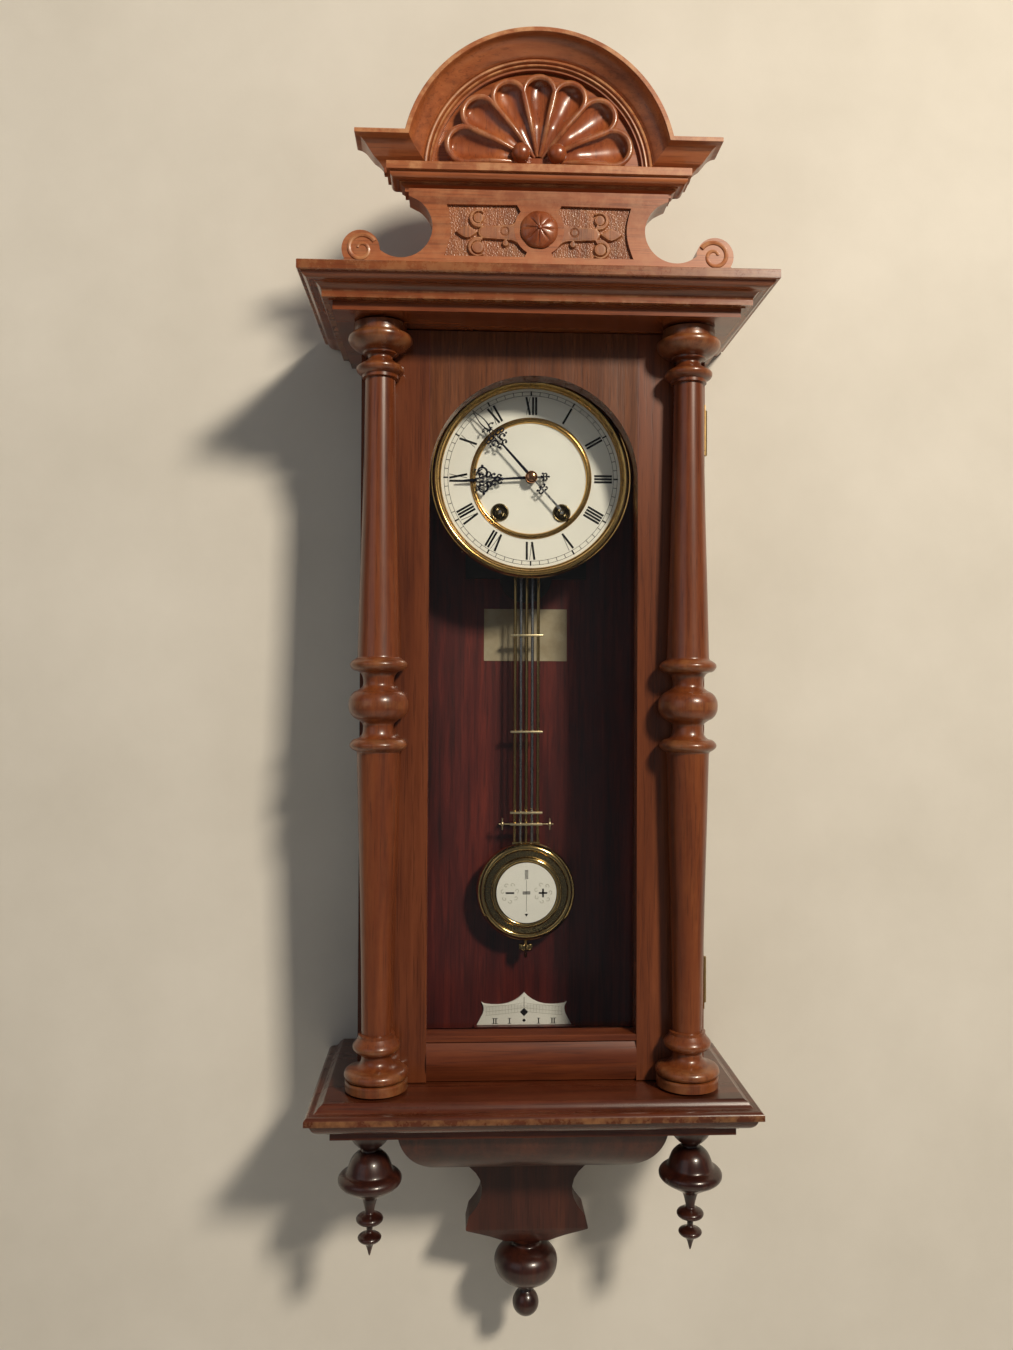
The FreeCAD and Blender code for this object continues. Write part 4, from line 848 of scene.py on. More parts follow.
def hour_hand():
    """Stem, pierced scrolls, blade and the small tail."""
    low, high = HOUR_HAND
    straight = [Vector((0, v)) for v in (5, 12, 19, 25)]
    parts = [ribbon(straight, lambda t: 1.35 - 0.45 * t, low, high)]
    parts += [dot(0, 26.2, 1.5, low, high)]
    side = curls(low, high, (2.7, 28.2, 2.4, 200, -70, 0.55), (3.4, 33.4, 3.0, 250, -20, 0.62),
                 (5.2, 38.6, 3.1, 150, 420, 0.6, 0.4), (7.0, 44.2, 5.3, 215, 500, 0.7, 0.55),
                 (2.7, 44.6, 2.5, -60, 215, 0.55, 0.5))
    side += [ribbon(arc(0, 36, 12.2, 38, 74, 1.18), lambda t: 0.55, low, high)]
    side += [dot(12.4, 43.4, 1.3, low, high), dot(9.4, 49.8, 1.0, low, high)]
    wave = ((0.4, 26), (2.2, 30), (1.4, 36), (3.4, 41), (1.8, 47), (0.5, 52))
    side += [ribbon([Vector(p) for p in wave], 0.5, low, high)]
    parts += both(side)
    blade = [Vector((0, v)) for v in (49, 52, 56, 61, 66.8)]
    parts += [ribbon(blade, lambda t: 0.7 + 0.75 * math.sin(math.pi * min(1, t + 0.18)), low, high)]
    tail = curls(low, high, (2.2, -10.2, 2.0, 130, 330, 0.5), (1.8, -13.4, 1.5, 60, -120, 0.45))
    parts += both(tail) + [ribbon([Vector((0, v)) for v in (-5, -10, -15.4)], 0.7, low, high),
                           dot(0, -16, 0.9, low, high)]
    collar = lathe([(3.0, -low + 0.05), (5.4, -low), (5.4, -high), (3.0, -high)], 40, "Y")
    return merged(parts + [collar])


def minute_hand():
    """Stem, pierced scrolls and a lyre point, widened a little as a whole."""
    low, high = MINUTE_HAND
    parts = [ribbon([Vector((0, v)) for v in (4, 14, 26, 38)], lambda t: 1.15 - 0.4 * t, low, high)]
    side = curls(low, high, (2.6, 39.2, 2.2, 190, -60, 0.5), (4.2, 44.4, 3.0, 235, -30, 0.55),
                 (3.6, 50.2, 2.7, 170, 430, 0.52, 0.5), (6.6, 49.2, 2.1, 200, 470, 0.45, 0.5))
    side += [ribbon([Vector(p) for p in ((0.3, 38), (1.7, 42), (1.0, 47), (2.2, 51), (0.9, 56))],
                    0.45, low, high)]
    side += curl(3.4, 58.4, 2.5, 250, 20, 0.45, low, high, 0.6)
    prong = flow([(0.5, 55), (1.6, 60), (2.0, 65), (1.5, 71), (0.5, 76), (0.15, 79.3)], 3)
    side += [ribbon(prong, lambda t: 0.62 - 0.42 * t, low, high)]
    side += [dot(7.6, 44.6, 0.9, low, high)]
    parts += both(side)
    parts += [dot(0, 56, 1.1, low, high)]
    fleur = curls(low, high, (2.4, -12.6, 2.1, 140, 350, 0.5), (2.0, -16.4, 1.7, 60, -130, 0.45))
    parts += both(fleur)
    collar = lathe([(2.2, -low + 0.02), (4.6, -low), (4.6, -high), (2.2, -high)], 40, "Y")
    verts, faces = merged(parts + [collar])
    return [(v[0] * 1.22, v[1], v[2]) for v in verts], faces


def make_hands():
    shape = turned_by(hour_hand(), HOUR_TURN, DIAL_Z)
    piece("hour_pointer", *shape, BLUED, "hour_pipe", "blued_steel", ["hour_hand"], sharp=50)
    shape = turned_by(minute_hand(), MINUTE_TURN, DIAL_Z)
    piece("minute_pointer", *shape, BLUED, "minute_arbor", "blued_steel", ["minute_hand"], sharp=50)
    # The tail of the blued minute hand is made in pale steel: a painted highlight where it catches
    # the light.
    tail = ribbon([Vector((0, v)) for v in (-4, -12, -24, -34, -38, -40)],
                  lambda t: 0.75 + 0.6 * t - (0.9 if t > 0.99 else 0), *MINUTE_HAND)
    piece("minute_tail_painted_highlight", *turned_by(tail, MINUTE_TURN, DIAL_Z), STEEL, "minute_arbor",
          "spring_steel")
    low, high = span("hand_nut")
    front, back = -low[1], -high[1]
    dome = flow([(0.01, -front), (2.4, -(front - 0.25)), (4.4, -(front - 1.1)),
                 (5.4, -(front - 2.3)), (5.6, -(back + 0.2))], 4)
    nut = [Vector((0, -front))] + dome[1:] + [Vector((5.3, -back)), Vector((0, -back))]
    piece("hand_boss", *turned(nut, 40, DIAL_Z), COPPER, "minute_arbor", "bezel_brass",
          ["hand_nut"])


# ---------------------------------------------------------------- pendulum

BOB_Z = -549.5


def make_bob():
    low, high = span("pendulum_bob_shell")
    front, back = -low[1], -high[1]
    bead = [Vector((27, -(front - 4)))]
    bead += flow([(28.2, -(front - 1.6)), (29.2, -(front - 0.3)), (30.7, -front),
                  (32.2, -(front - 0.5)), (33.2, -(front - 1.9)), (33.5, -(front - 4))], 4)
    valley = flow([(33.3, -(front - 3.4)), (34.4, -(front - 6.2)), (36.2, -(front - 6.9)),
                   (37.8, -(front - 5.4)), (38.3, -(front - 4))], 4)
    rim = flow([(38.1, -(front - 4.8)), (39.4, -(front - 2.8)), (41.6, -(front - 2.4)),
                (44.2, -(front - 3.7)), (45.8, -(front - 6)), (46.4, -(front - 8.3))], 4)
    rim += flow([(46.4, -(front - 9)), (45.4, -(back + 4.6)), (40, -(back + 1.8)),
                 (28, -(back + 0.3)), (12, -back)], 4) + [Vector((0, -back))]
    # The valley gets the dark brass while the bead and rim get the bright brass: painted shade in
    # the groove.
    for name, profile, look, nodes in (("bob_bead", bead, BRASS, ()),
                                       ("bob_valley_painted_shade", valley, DARK_BRASS, ()),
                                       ("bob_rim", rim, BRASS, ["pendulum_bob_shell"])):
        piece(name, *turned(profile, 128, BOB_Z), look, "pendulum", "bob_brass", nodes)
    low, high = span("bob_enamel_disc")
    front, back = -low[1], -high[1]
    disc = [(0, -front)]
    disc += [(28 * k / 16, -(front - 0.25 * (k / 16) ** 2)) for k in range(1, 17)]
    disc += [(28.2, -back), (0, -back)]
    piece("bob_disc", *turned(disc, 96, BOB_Z), ENAMEL, "pendulum", "enamel", ["bob_enamel_disc"])
    low, high = front - 0.3, front + 0.06
    bars = [stroke((0, -17), (0, 12), 0.28)]
    bars += [stroke((-3.6, v), (3.6, v), 0.7) for v in (-0.9, 0.1, 1.1)]
    bars += [stroke((-1.6, 13 + 1.1 * k), (1.6, 13.6 + 1.1 * k), 0.55) for k in range(8)]
    bars += [[Vector((-1.7, -19.4)), Vector((0, -22)), Vector((1.7, -19.4))]]
    for side in (-1, 1):
        bars += [stroke((side * 15.5 - 4, 0), (side * 15.5 + 4, 0), 1.6)]
    bars += [stroke((15.5, -4), (15.5, 4), 1.6)]
    piece("bob_print", *moved(plates(bars, low, high), 0, 0, BOB_Z), INK, "pendulum", "enamel")
    scrolls = []
    for side in (-1, 1):
        for k in range(7):
            a = math.radians(90 + side * 20 + k * 51)
            x, z = side * 15.5 + 6.6 * math.cos(a), 7.8 * math.sin(a)
            path = arc(x, z, 2.1, math.degrees(a) - 90, math.degrees(a) + 200, 0.35)
            scrolls.append(ribbon(path, 0.3, low, high - 0.01))
    piece("bob_scrolls", *moved(merged(scrolls), 0, 0, BOB_Z), FADED, "pendulum", "enamel")


BARS = (-308.5, -399.5, -475.7, -486.5)
PENDULUM_Y, ROD_PITCH = -33, 5.4


def make_gridiron():
    """Five rods of brass and steel, thin cross bars, and the small cross finials of the last."""
    y, top = PENDULUM_Y, span("pendulum_gridiron")[1][2]
    brass, steel, bright = [], [], []
    for k in range(-2, 3):
        shape = lathe([(0, -134), (1, -134), (1.5, -136), (1.5, -506.5), (1, -508), (0, -508)], 20)
        (steel if k % 2 else brass).append(moved(shape, k * ROD_PITCH, y, 0))
    brass.append(block(-2.4, 2.4, y - 1.4, y + 1.4, top - 17, top, 0.4))
    for z in BARS:
        bright.append(block(-15.2, 15.2, y - 3.6, y + 3, z - 0.9, z + 0.9, 0.3))
    brass.append(block(-15.2, 15.2, y - 3, y + 3, -136.6, -132.6, 0.5))
    brass.append(block(-13, 13, y - 3, y + 3, -509, -503, 0.5))
    z = BARS[3]
    for side in (-1, 1):
        pin = lathe([(0, 0), (0.45, 0), (0.45, 6), (0, 6)], 12)
        pin = [(side * (15 + v[2]), y + v[0], z + v[1]) for v in pin[0]], pin[1]
        stem = lathe([(0, -6), (0.7, -5.2), (0.6, -2.2), (1.4, -1.1), (1.7, 0), (1.4, 1.1),
                      (0.6, 2.2), (0.7, 5.2), (0, 6)], 14)
        arm = [(v[2] * 0.62, v[0], v[1]) for v in stem[0]], stem[1]
        bright += [pin, moved(stem, side * 22.4, y, z), moved(arm, side * 22.4, y, z)]
    piece("pendulum_brass_rods", *merged(brass), BRASS, "pendulum", "bob_brass",
          ["pendulum_gridiron"])
    piece("pendulum_bars", *merged(bright), BRIGHT, "pendulum", "bob_brass")
    piece("pendulum_steel_rods", *merged(steel), STEEL, "pendulum", "spring_steel")
    screw = lathe([(0, -594), (1.5, -594), (1.5, -611), (0.9, -612), (0, -612)], 20)
    piece("rating_screw", *moved(screw, 0, y, 0), BRASS, "pendulum", "bob_brass")
    low, high = span("rating_nut")
    ridges, verts = 48, []
    for height, scale in ((low[2], 0.93), (low[2] + 0.6, 1), (high[2] - 0.6, 1), (high[2], 0.93)):
        for k in range(ridges):
            a, r = 2 * math.pi * k / ridges, (6 if k % 2 else 5.5) * scale
            verts.append((r * math.cos(a), r * math.sin(a) + y, height))
    rows = [list(range(ridges * i, ridges * (i + 1))) for i in range(4)]
    piece("knurled_nut", verts, loft(rows), BRASS, "rating_nut", "bob_brass", ["rating_nut"])


# ---------------------------------------------------------------- beat scale

def make_beat_scale():
    """The enamel scale below the bob: fine arcs, marks, figures and a plain lozenge."""
    low, high = span("beat_scale")
    face, top, foot = -low[1], high[2], low[2]
    half = high[0]
    edge = [(0, top), (4.5, top - 4.2), (10.5, top - 8), (18, top - 10.6), (28, top - 11.4),
            (38, top - 10.4), (half - 4.6, top - 9), (half - 6.6, top - 14), (half - 6, top - 19),
            (half - 3.6, top - 24), (half, foot)]
    right = [Vector(edge[0])] + flow(edge[:7], 3)[1:] + flow(edge[6:], 3)[1:]
    outline = [Vector((-p.x, p.y)) for p in reversed(right[1:])] + right
    shape = slab(outline, face, -high[1], 0.4)
    piece("beat_scale_plate", *shape, ENAMEL, slot="enamel", stands_for=["beat_scale"])
    marks, fine = [], []
    for drop, reach in ((9.5, 35), (14, 37), (17.5, 37)):
        path = [Vector((x, top - drop - 4.2 * (abs(x) / 38) ** 0.7))
                for x in range(-reach, reach + 1, 2)]
        fine.append(ribbon(path, 0.16, face - 0.05, face + 0.1))
    for k in range(-12, 13):
        x = k * 3
        curve = 4.2 * (abs(x) / 38) ** 0.7
        fine.append(plates([stroke((x, top - 9.5 - curve), (x, top - 17.5 - curve), 0.22)],
                           face - 0.05, face + 0.1))
    for text, x in (("II", -28), ("I", -14), ("I", 14), ("II", 28)):
        for k in range(len(text)):
            u = x + (k - (len(text) - 1) / 2) * 2.2
            marks.append(stroke((u, foot + 1.4), (u, foot + 6.2), 1.0))
        reach = 1.2 * len(text) + 0.4
        for v in (foot + 1.3, foot + 6.3):
            marks.append(stroke((x - reach, v), (x + reach, v), 0.4))
    for size, v in ((4, top - 18.6), (1.8, top - 26.5)):
        marks.append([Vector((-size, v)), Vector((0, v + size)), Vector((size, v)),
                      Vector((0, v - size))])
    marks.append(stroke((0, top - 4), (0, top - 14), 0.4))
    piece("beat_scale_print", *plates(marks, face - 0.05, face + 0.12), INK, slot="enamel")
    piece("beat_scale_lines", *merged(fine), FADED, slot="enamel")


# ---------------------------------------------------------------- crest

ARCH_Z, EAR_TOP, TYMPANUM = 69, 95, 158      # the last is a distance from the wall
CROWN = [(0, 0.5), (0.5, 0), (3.6, 0), (4, 0.5), (4.3, 2), (5, 4.2), (6.2, 6.2), (8, 8.3),
         (10.5, 10.3), (13.4, 12.7), (15.6, 14.6), (17, 16.6)]
CROWN_END = [(17.9, 18), (19.6, 20), (21.6, 21.8), (22.4, 22.7), (26, 22.7)]
BEADS = [(17.2, 17.6), (17.8, 16.2), (18.8, 15.4), (19.9, 15.6), (20.6, 17), (20.9, 18),
         (21.4, 17), (22.2, 16), (23.2, 15.9), (24, 16.8), (24.4, 18.2), (26, 18.2), (26, 22)]


def divided(profile, step=0.8):
    """Divide a profile's straight stretches into even short steps."""
    points = [Vector(p) for p in profile]
    result = [points[0]]
    for a, b in zip(points, points[1:]):
        count = max(1, int((b - a).length / step))
        result += [a.lerp(b, k / count) for k in range(1, count + 1)]
    return result


def make_arch():
    """The crown moulding that runs round the arch and mitres into the two ears."""
    low, high = span("crest_arch_moulding")
    centre, top, outer, half = ARCH_Z, EAR_TOP, high[2] - ARCH_Z, high[0]
    front, back = -low[1], -high[1]
    rise = top - centre
    verts, faces, wear, rows = [], [], [], []
    for inset, drop in divided(CROWN + BEADS):
        radius = outer - inset
        height = max(rise - inset, 0)
        start = math.asin(height / radius)
        row = []
        for k in range(97):
            a = start + (math.pi - 2 * start) * k / 96
            row.append(len(verts))
            verts.append((radius * math.cos(a), -(front - drop), centre + radius * math.sin(a)))
            wear.append(0.9 if inset < 4 or 15.2 < drop < 16.3 and inset > 17.5 else 0.08)
        rows.append(row)
    first = [len(verts) + k for k in range(97)]
    for i in rows[0]:
        verts.append((verts[i][0], -back, verts[i][2]))
        wear.append(0.1)
    rows.insert(0, first)
    for a, b in zip(rows, rows[1:]):
        faces += band(a, b, closed=False)
    ends = []
    for inset, drop in divided(CROWN + CROWN_END):
        radius, height = outer - inset, max(rise - inset, 0)
        x = math.sqrt(radius * radius - height * height)
        base = len(verts)
        z = centre + height
        verts += [(x, -(front - drop), z), (half - drop, -(front - drop), z),
                  (half - drop, -back, z)]
        wear += [0.8 if inset < 4 else 0.08] * 3
        ends.append(base)
    tip = len(verts)
    verts += [(math.sqrt(outer ** 2 - rise ** 2), -back, top), (half - 0.5, -back, top)]
    wear += [0.5, 0.5]
    faces.append((tip, tip + 1, ends[0] + 2, ends[0] + 1, ends[0]))
    for a, b in zip(ends, ends[1:]):
        faces += [(a, a + 1, b + 1, b), (a + 1, a + 2, b + 2, b + 1)]
    right = ends[0]
    count = len(verts) - right
    verts += [(-v[0], v[1], v[2]) for v in verts[right:]]
    wear += wear[right:]
    faces += [tuple(reversed([i + count for i in f])) for f in faces if min(f) >= right]
    piece("crest_crown", verts, faces, CREST, slot="crest_wood", wear=wear, sharp=40,
          stands_for=["crest_arch_moulding"])
    edge = [(half - d, top - i) for i, d in CROWN + CROWN_END]
    reach = outer - 0.3
    curve = [(reach * math.cos(math.pi * k / 48), centre + reach * math.sin(math.pi * k / 48))
             for k in range(49)]
    curve = [p for p in curve if p[1] > top]
    outline = [(-p[0] + 0.2, p[1] - 0.1) for p in edge[::-1]] + curve[::-1] + \
              [(p[0] - 0.2, p[1] - 0.1) for p in edge]
    shape = slab(outline, back + 8, back + 0.1, bevel=0.1)
    piece("crest_tympanum", *shape, CREST, slot="crest_wood")


SCALLOPS = ((90, 68), (63.5, 69.5), (116.5, 69.5), (36, 75), (144, 75), (9.5, 77), (170.5, 77))
SHELL_HUB = 79.5


def scallop(angle, reach):
    """One hollow lobe of the shell with a raised rim, in front of the tympanum."""
    half_angle = math.radians(13.6)
    ratio = math.sin(half_angle)
    centre = reach / (1 + ratio)
    round_end = centre * ratio
    turn = math.radians(angle)
    along = Vector((math.cos(turn), math.sin(turn)))
    across = Vector((-along.y, along.x))

    def spot(s, t):
        """A point at share s of the reach and share t of the half width."""
        r = 5 + (reach - 5) * s
        if r < centre * math.cos(half_angle) ** 2:
            wide = r * math.tan(half_angle)
        else:
            wide = math.sqrt(max(round_end ** 2 - (r - centre) ** 2, 0))
        flat = along * r + across * (wide * t)
        return flat, wide

    verts, rows, columns = [], 40, 16
    for i in range(rows + 1):
        s = 1 - (1 - i / rows) ** 1.6
        for j in range(columns + 1):
            t = math.sin(math.pi / 2 * (2 * j / columns - 1))
            flat, wide = spot(s, t)
            hollow = min(7.6, wide * 0.72) * (1 - t * t) * min(1, 0.3 + 0.9 * s)
            depth = TYMPANUM + 1.4 + 7.4 * min(1, s * 2.6) - hollow
            z = max(SHELL_HUB + flat.y, 69.2)
            verts.append((flat.x, -depth, z))
    shapes = [("bowl", verts, sheet(rows, columns))]
    rim, steps = [], 46
    for k in range(steps + 1):
        u = 2 * k / steps - 1
        s = 1 - abs(u) ** 1.7
        flat, _ = spot(max(0, min(1, s)), math.copysign(1, u))
        rim.append((flat.x, -(TYMPANUM + 1.9 + 7.6 * min(1, s * 2.6)),
                    max(SHELL_HUB + flat.y, 69.4)))
    rim = smooth_path(rim)
    bead = tube(rim, lambda q: 1.2 + 1.2 * math.sin(math.pi * q) ** 0.5, 8, flat=0.7)
    shapes.append(("rim", *bead))
    skirt = [], []
    for x, y, z in rim:
        skirt[0].extend([(x, y, z), (x, -157.8, z)])
    skirt[1].extend([(2 * k, 2 * k + 2, 2 * k + 3, 2 * k + 1) for k in range(len(rim) - 1)])
    shapes.append(("rim", *skirt))
    return shapes


def smooth_path(path):
    """A path with every inner point eased towards its neighbours."""
    points = [Vector(p) for p in path]
    inner = [(a + b * 2 + c) / 4 for a, b, c in zip(points, points[1:], points[2:])]
    return [points[0]] + inner + [points[-1]]


def make_shell():
    bowls, rims = [], []
    for angle, reach in SCALLOPS:
        for kind, verts, faces in scallop(angle, reach):
            (bowls if kind == "bowl" else rims).append((verts, faces))
    hub = []
    for x in (-15, 15):
        knob = [(0, -173.4), (3.2, -173), (5.8, -171.6), (7.4, -169.4), (8, -166.6), (7.5, -163),
                (6.6, -TYMPANUM)]
        hub.append(turned(knob, 32, SHELL_HUB + 4.6, x))
    foot = block(-23, 23, -161.5, -157, 69, SHELL_HUB + 3, 0.4)
    shape = merged(bowls + hub + [foot])
    piece("shell_bowls", *shape, CARVED, slot="crest_wood", sharp=50, wear=[0.05] * len(shape[0]))
    shape = merged(rims)
    piece("shell_rims", *shape, CARVED, slot="crest_wood", sharp=60, wear=[0.4] * len(shape[0]),
          stands_for=["crest_shell"])


def make_entablature():
    steps = run([(0.5, 69), (0, 68.5), (0, 62.5), (2.8, 62.2, 3), (10, 57.5), (10, 56.3),
                 (11.5, 56.3), (11.5, 54.6), (14.5, 53), (14.5, 50)], 0.8)
    moulding("crest_fascia", "crest_entablature", CREST, steps,
             lambda z: 0.7 if z > 62.4 or abs(z - 56.3) < 0.2 else 0.05)


PANEL_TOP, PANEL_LOW, BOSS_Z = 38.2, -4.6, 18.0
RECESS, FRIEZE_FACE = 2.6, 172


def panel_outline():
    """The right panel's edge: straight above and below, hollow beside the boss and the waist."""
    points = [(18.3, PANEL_TOP), (76, PANEL_TOP - 0.6)]
    points += [(76 - 4.6 * math.sin(math.pi * k / 16) + 2 * k / 16, PANEL_TOP - 0.6 - 42.2 * k / 16)
               for k in range(1, 17)]
    points += [(12, PANEL_LOW)]
    count = 18
    first, last = math.radians(-64), math.radians(45.5)
    for k in range(count + 1):
        a = first + (last - first) * k / count
        points.append((20.6 * math.cos(a) + 3.5 * (k / count - 0.5) ** 2,
                       BOSS_Z + 20.6 * math.sin(a)))
    return [Vector(p) for p in points]


def to_segment(p, a, b):
    t = max(0, min(1, (p - a).dot(b - a) / max((b - a).length_squared, 1e-9)))
    return (p - a.lerp(b, t)).length, t


def ornament_distance(p):
    """How far a point of the panel is outside the raised ornament; negative is inside."""
    best = p.length - 20.4
    arm, t = to_segment(p, Vector((18, -2.6)), Vector((45, -2.6)))
    arm -= 6.6 - 1.4 * t
    blend = max(6 - abs(best - arm), 0) / 6
    best = min(best, arm) - blend * blend * 1.5
    best = min(best, (p - Vector((27.8, -11.2))).length - 2.6)
    for knob, size, turns in (((50, 9.2), 4.7, 1), ((50.5, -15.0), 5.4, -1)):
        offset_from = p - Vector(knob)
        distance = offset_from.length
        angle = math.degrees(math.atan2(offset_from.y * turns, offset_from.x))
        share = (angle + 120) / 250
        if 0 <= share <= 1:
            wide = 1.9 - 1.2 * share
            best = min(best, abs(distance - size - 1.4) - wide)
        best = min(best, distance - size + 0.4)
    leaf = p - Vector((59.5, -2.6))
    taper = 1 - abs(leaf.x / 9.0) ** 1.6 if leaf.x > -2 else 1 + (leaf.x + 2) / 7
    return min(best, max(abs(leaf.y) - 5.0 * max(0, taper), abs(leaf.x) - 9.5))


def punch(x, z):
    """Small punched dents in the ground."""
    cell_x, cell_z = math.floor(x / 1.15), math.floor(z / 1.5)
    best = 9.0
    for i in (-1, 0, 1):
        for j in (-1, 0, 1):
            mix = random.Random((cell_x + i) * 7919 + (cell_z + j) * 104729)
            dx = (cell_x + i + mix.random()) * 1.15 - x
            dz = (cell_z + j + mix.random()) * 1.5 - z
            best = min(best, math.hypot(dx, dz * 0.7))
    return 0.55 * min(1, best / 0.6)


def make_panel(side):
    """The punched ground of one panel with its raised scrolls and leaf."""
    verts, wear = [], []
    step, x0, x1, z0, z1 = 0.42, 10.5, 79, PANEL_LOW - 1, PANEL_TOP + 1
    across, up = int((x1 - x0) / step), int((z1 - z0) / step)
    for j in range(up + 1):
        for i in range(across + 1):
            x, z = x0 + i * step, z0 + j * step
            away = ornament_distance(Vector((x, z - BOSS_Z)))
            rise = max(0, min(1, 0.5 - away / 0.7))
            rise = rise * rise * (3 - 2 * rise)
            lip = 0.35 * max(0, 1 - abs(away + 0.9) / 0.9)
            ring = abs(math.hypot(x - 28.8, z - BOSS_Z + 1.6) - 3.3)
            groove = 0.8 * max(0, 1 - ring / 0.7)
            ground = -RECESS - 0.4 + punch(x, z)
            height = ground * (1 - rise) + rise * (-0.05 - lip * 0.4 - groove)
            verts.append((side * x, -(FRIEZE_FACE + height), z))
            on_edge = -1.1 < away < 0.1
            wear.append(0.75 if on_edge else (0.35 if away > 0 and height > -2.6 else 0.25))
    return verts, sheet(up, across), wear


def make_frieze():
    low, high = span("crest_frieze_board")
    front, back = -low[1], -high[1]
    right = [(177, -18), (177, -14, -2), (159, -9, 20), (130.5, -1, -15), (87.5, 19, -2.9),
             (99, 40), (107, 44), (107, 50)]
    edge = run(right, 1.2)
    outline = [Vector((-p.x, p.y)) for p in edge] + [p for p in reversed(edge)]
    holes = [panel_outline(), [Vector((-p.x, p.y)) for p in panel_outline()]]
    loops = [[p.to_3d() for p in loop] for loop in [outline] + holes]
    triangles = tessellate_polygon(loops)
    flat = [p for loop in loops for p in loop]
    verts = [(p.x, -front, p.y) for p in flat]
    faces = [tuple(t) for t in triangles]
    base = 0
    for number, loop in enumerate(loops):
        count = len(loop)
        deep = len(verts)
        verts += [(p.x, -(back if number == 0 else front - RECESS - 0.6), p.y) for p in loop]
        faces += [(base + k, base + (k + 1) % count, deep + (k + 1) % count, deep + k)
                  for k in range(count)]
        if number == 0:
            faces.append(tuple(range(deep, deep + count)))
        base += count
    piece("crest_board", verts, faces, CREST, slot="crest_wood", stands_for=["crest_frieze_board"],
          sharp=30, wear=[0.25] * len(verts))
    for name, side in (("left", -1), ("right", 1)):
        verts, faces, wear = make_panel(side)
        piece(f"crest_{name}_panel", verts, faces, GROUND, slot="crest_wood", sharp=70, wear=wear)
    curls = []
    for side in (-1, 1):
        path = [Vector((side * v.x, -front, v.z))
                for v in spiral(145.5, -0.8, 12.6, 3.0, 2.6, -1.35, front)]
        curls.append(tube(path, lambda q: 2.0 - 0.7 * q, 8, flat=0.7))
    shape = merged(curls)
    piece("crest_volutes", *shape, CREST, slot="crest_wood", wear=[0.7] * len(shape[0]))


def make_boss():
    """The eight-petalled roundel in the middle of the frieze."""
    verts, faces = [], []
    rings, around = 14, 96
    for i in range(rings + 1):
        share = i / rings
        for k in range(around):
            a = 2 * math.pi * k / around
            petal = abs(math.sin(4 * a + 0.3))
            r = 15.6 * share * (1 - 0.035 * (1 - petal) * share)
            dome = 6.2 * math.sqrt(max(0, 1 - (share * 0.97) ** 2))
            crease = 1.3 * (1 - petal) ** 3 * math.sin(math.pi * min(1, share * 1.05)) + \
                0.5 * max(0, 1 - share / 0.12)
            verts.append((r * math.cos(a), -(171.6 + dome - crease), BOSS_Z + r * math.sin(a)))
    for i in range(rings):
        for k in range(around):
            n = (k + 1) % around
            faces.append((i * around + k, i * around + n, (i + 1) * around + n,
                          (i + 1) * around + k))
    piece("crest_roundel", verts, faces, CARVED, slot="crest_wood", sharp=40,
          stands_for=["crest_rosette"], wear=[0.15] * len(verts))
    pin = turned([(0, -179), (1.2, -178.8), (1.9, -178), (2, -177)], 20, BOSS_Z)
    piece("roundel_pin", *pin, CARVED, slot="crest_wood")


def make_crest():
    make_arch()
    make_shell()
    make_entablature()
    make_frieze()
    make_boss()


# ---------------------------------------------------------------- stage

def make_stage():
    """A pale wall that shows only from the front, and a pale floor."""
    low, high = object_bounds()
    n = Nodes("pale_wall")
    mottle = n.noise(n.coords(), 5, 5, 0.6)
    tone = n.ramp(mottle, [(0.3, (0.66, 0.63, 0.56)), (0.7, (0.74, 0.71, 0.64))])
    n.set(Base_Color=tone, Roughness=0.9, Normal=n.bump(n.noise(n.coords(), 260, 3), 0.08, 0.0006))
    behind = n.add("ShaderNodeNewGeometry").outputs["Backfacing"]
    clear = n.add("ShaderNodeBsdfTransparent")
    both = n.add("ShaderNodeMixShader", _0=behind, _1=n.shader.outputs[0], _2=clear.outputs[0])
    n.tree.links.new(both.outputs[0], n.tree.nodes["Material Output"].inputs[0])
    wall = sheet_mesh("wall", [(-4, 0.001, -1.9), (4, 0.001, -1.9), (4, 0.001, 3), (-4, 0.001, 3)],
                      n.material)
    floor_look = plain("pale_floor", (0.70, 0.69, 0.66), (0.74, 0.73, 0.70), 0.8, 3)
    floor = sheet_mesh("floor", [(-6, -2.4, -1.9), (6, -2.4, -1.9), (6, 8, -1.9), (-6, 8, -1.9)],
                       floor_look)


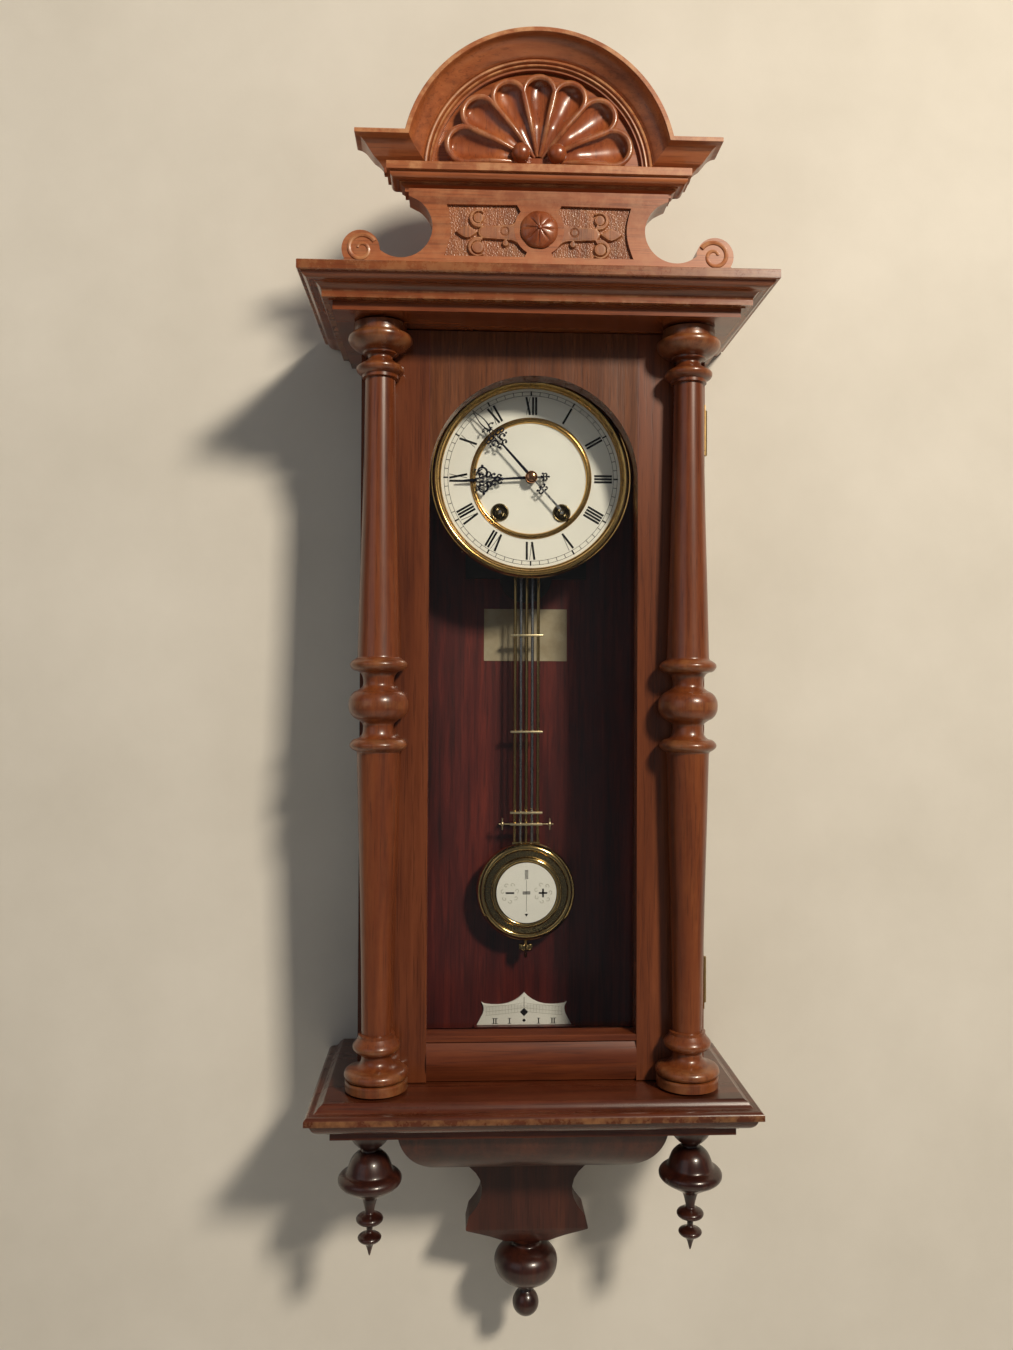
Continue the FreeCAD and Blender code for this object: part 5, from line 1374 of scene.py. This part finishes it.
def sheet_mesh(name, corners, material):
    mesh = bpy.data.meshes.new(name)
    mesh.from_pydata(corners, [], [(0, 1, 2, 3)])
    mesh.materials.append(material)
    obj = bpy.data.objects.new(name, mesh)
    bpy.context.scene.collection.objects.link(obj)
    return obj


def area_light(name, place, aim, size, power, colour):
    data = bpy.data.lights.new(name, "AREA")
    data.size, data.energy, data.color = size, power, colour
    lamp = bpy.data.objects.new(name, data)
    lamp.location = place
    lamp.rotation_mode = "QUATERNION"
    lamp.rotation_quaternion = (Vector(aim) - Vector(place)).to_track_quat("-Z", "Y")
    bpy.context.scene.collection.objects.link(lamp)
    return lamp


def make_lights():
    area_light("key", (1.29, -2.40, 1.23), (0, 0, -0.05), 0.40, 92, (1.0, 0.88, 0.72))
    area_light("fill", (-1.9, -2.2, 0.4), (0, 0, -0.4), 2.0, 5, (0.90, 0.93, 1.0))
    low = area_light("low_fill", (0.3, -2.2, -1.5), (0, 0, -0.6), 1.6, 0.8, (1.0, 0.93, 0.84))
    low.visible_glossy = False
    area_light("back_light", (0.8, 2.4, 1.2), (0, 0, -0.4), 2.0, 30, (1.0, 0.97, 0.92))
    world = bpy.data.worlds.new("studio")
    world.use_nodes = True
    background = world.node_tree.nodes["Background"]
    background.inputs[0].default_value = (0.80, 0.82, 0.86, 1)
    background.inputs[1].default_value = 0.12
    bpy.context.scene.world = world
    bpy.context.scene.view_settings.view_transform = "Standard"


def make_camera():
    data = bpy.data.cameras.new("camera")
    data.lens = 28.8
    camera = bpy.data.objects.new("camera", data)
    turn = (Matrix.Rotation(math.radians(-2.585), 4, "Z")
            @ Matrix.Rotation(math.radians(90.774), 4, "X")
            @ Matrix.Rotation(math.radians(0.247), 4, "Z"))
    camera.matrix_world = Matrix.Translation((-0.0651, -1.0523, -0.3597)) @ turn
    bpy.context.scene.collection.objects.link(camera)
    bpy.context.scene.camera = camera


make_case()
make_door()
make_drops()
make_inside()
make_dial()
make_hands()
make_bob()
make_gridiron()
make_beat_scale()
make_crest()
make_stage()
make_lights()
make_camera()
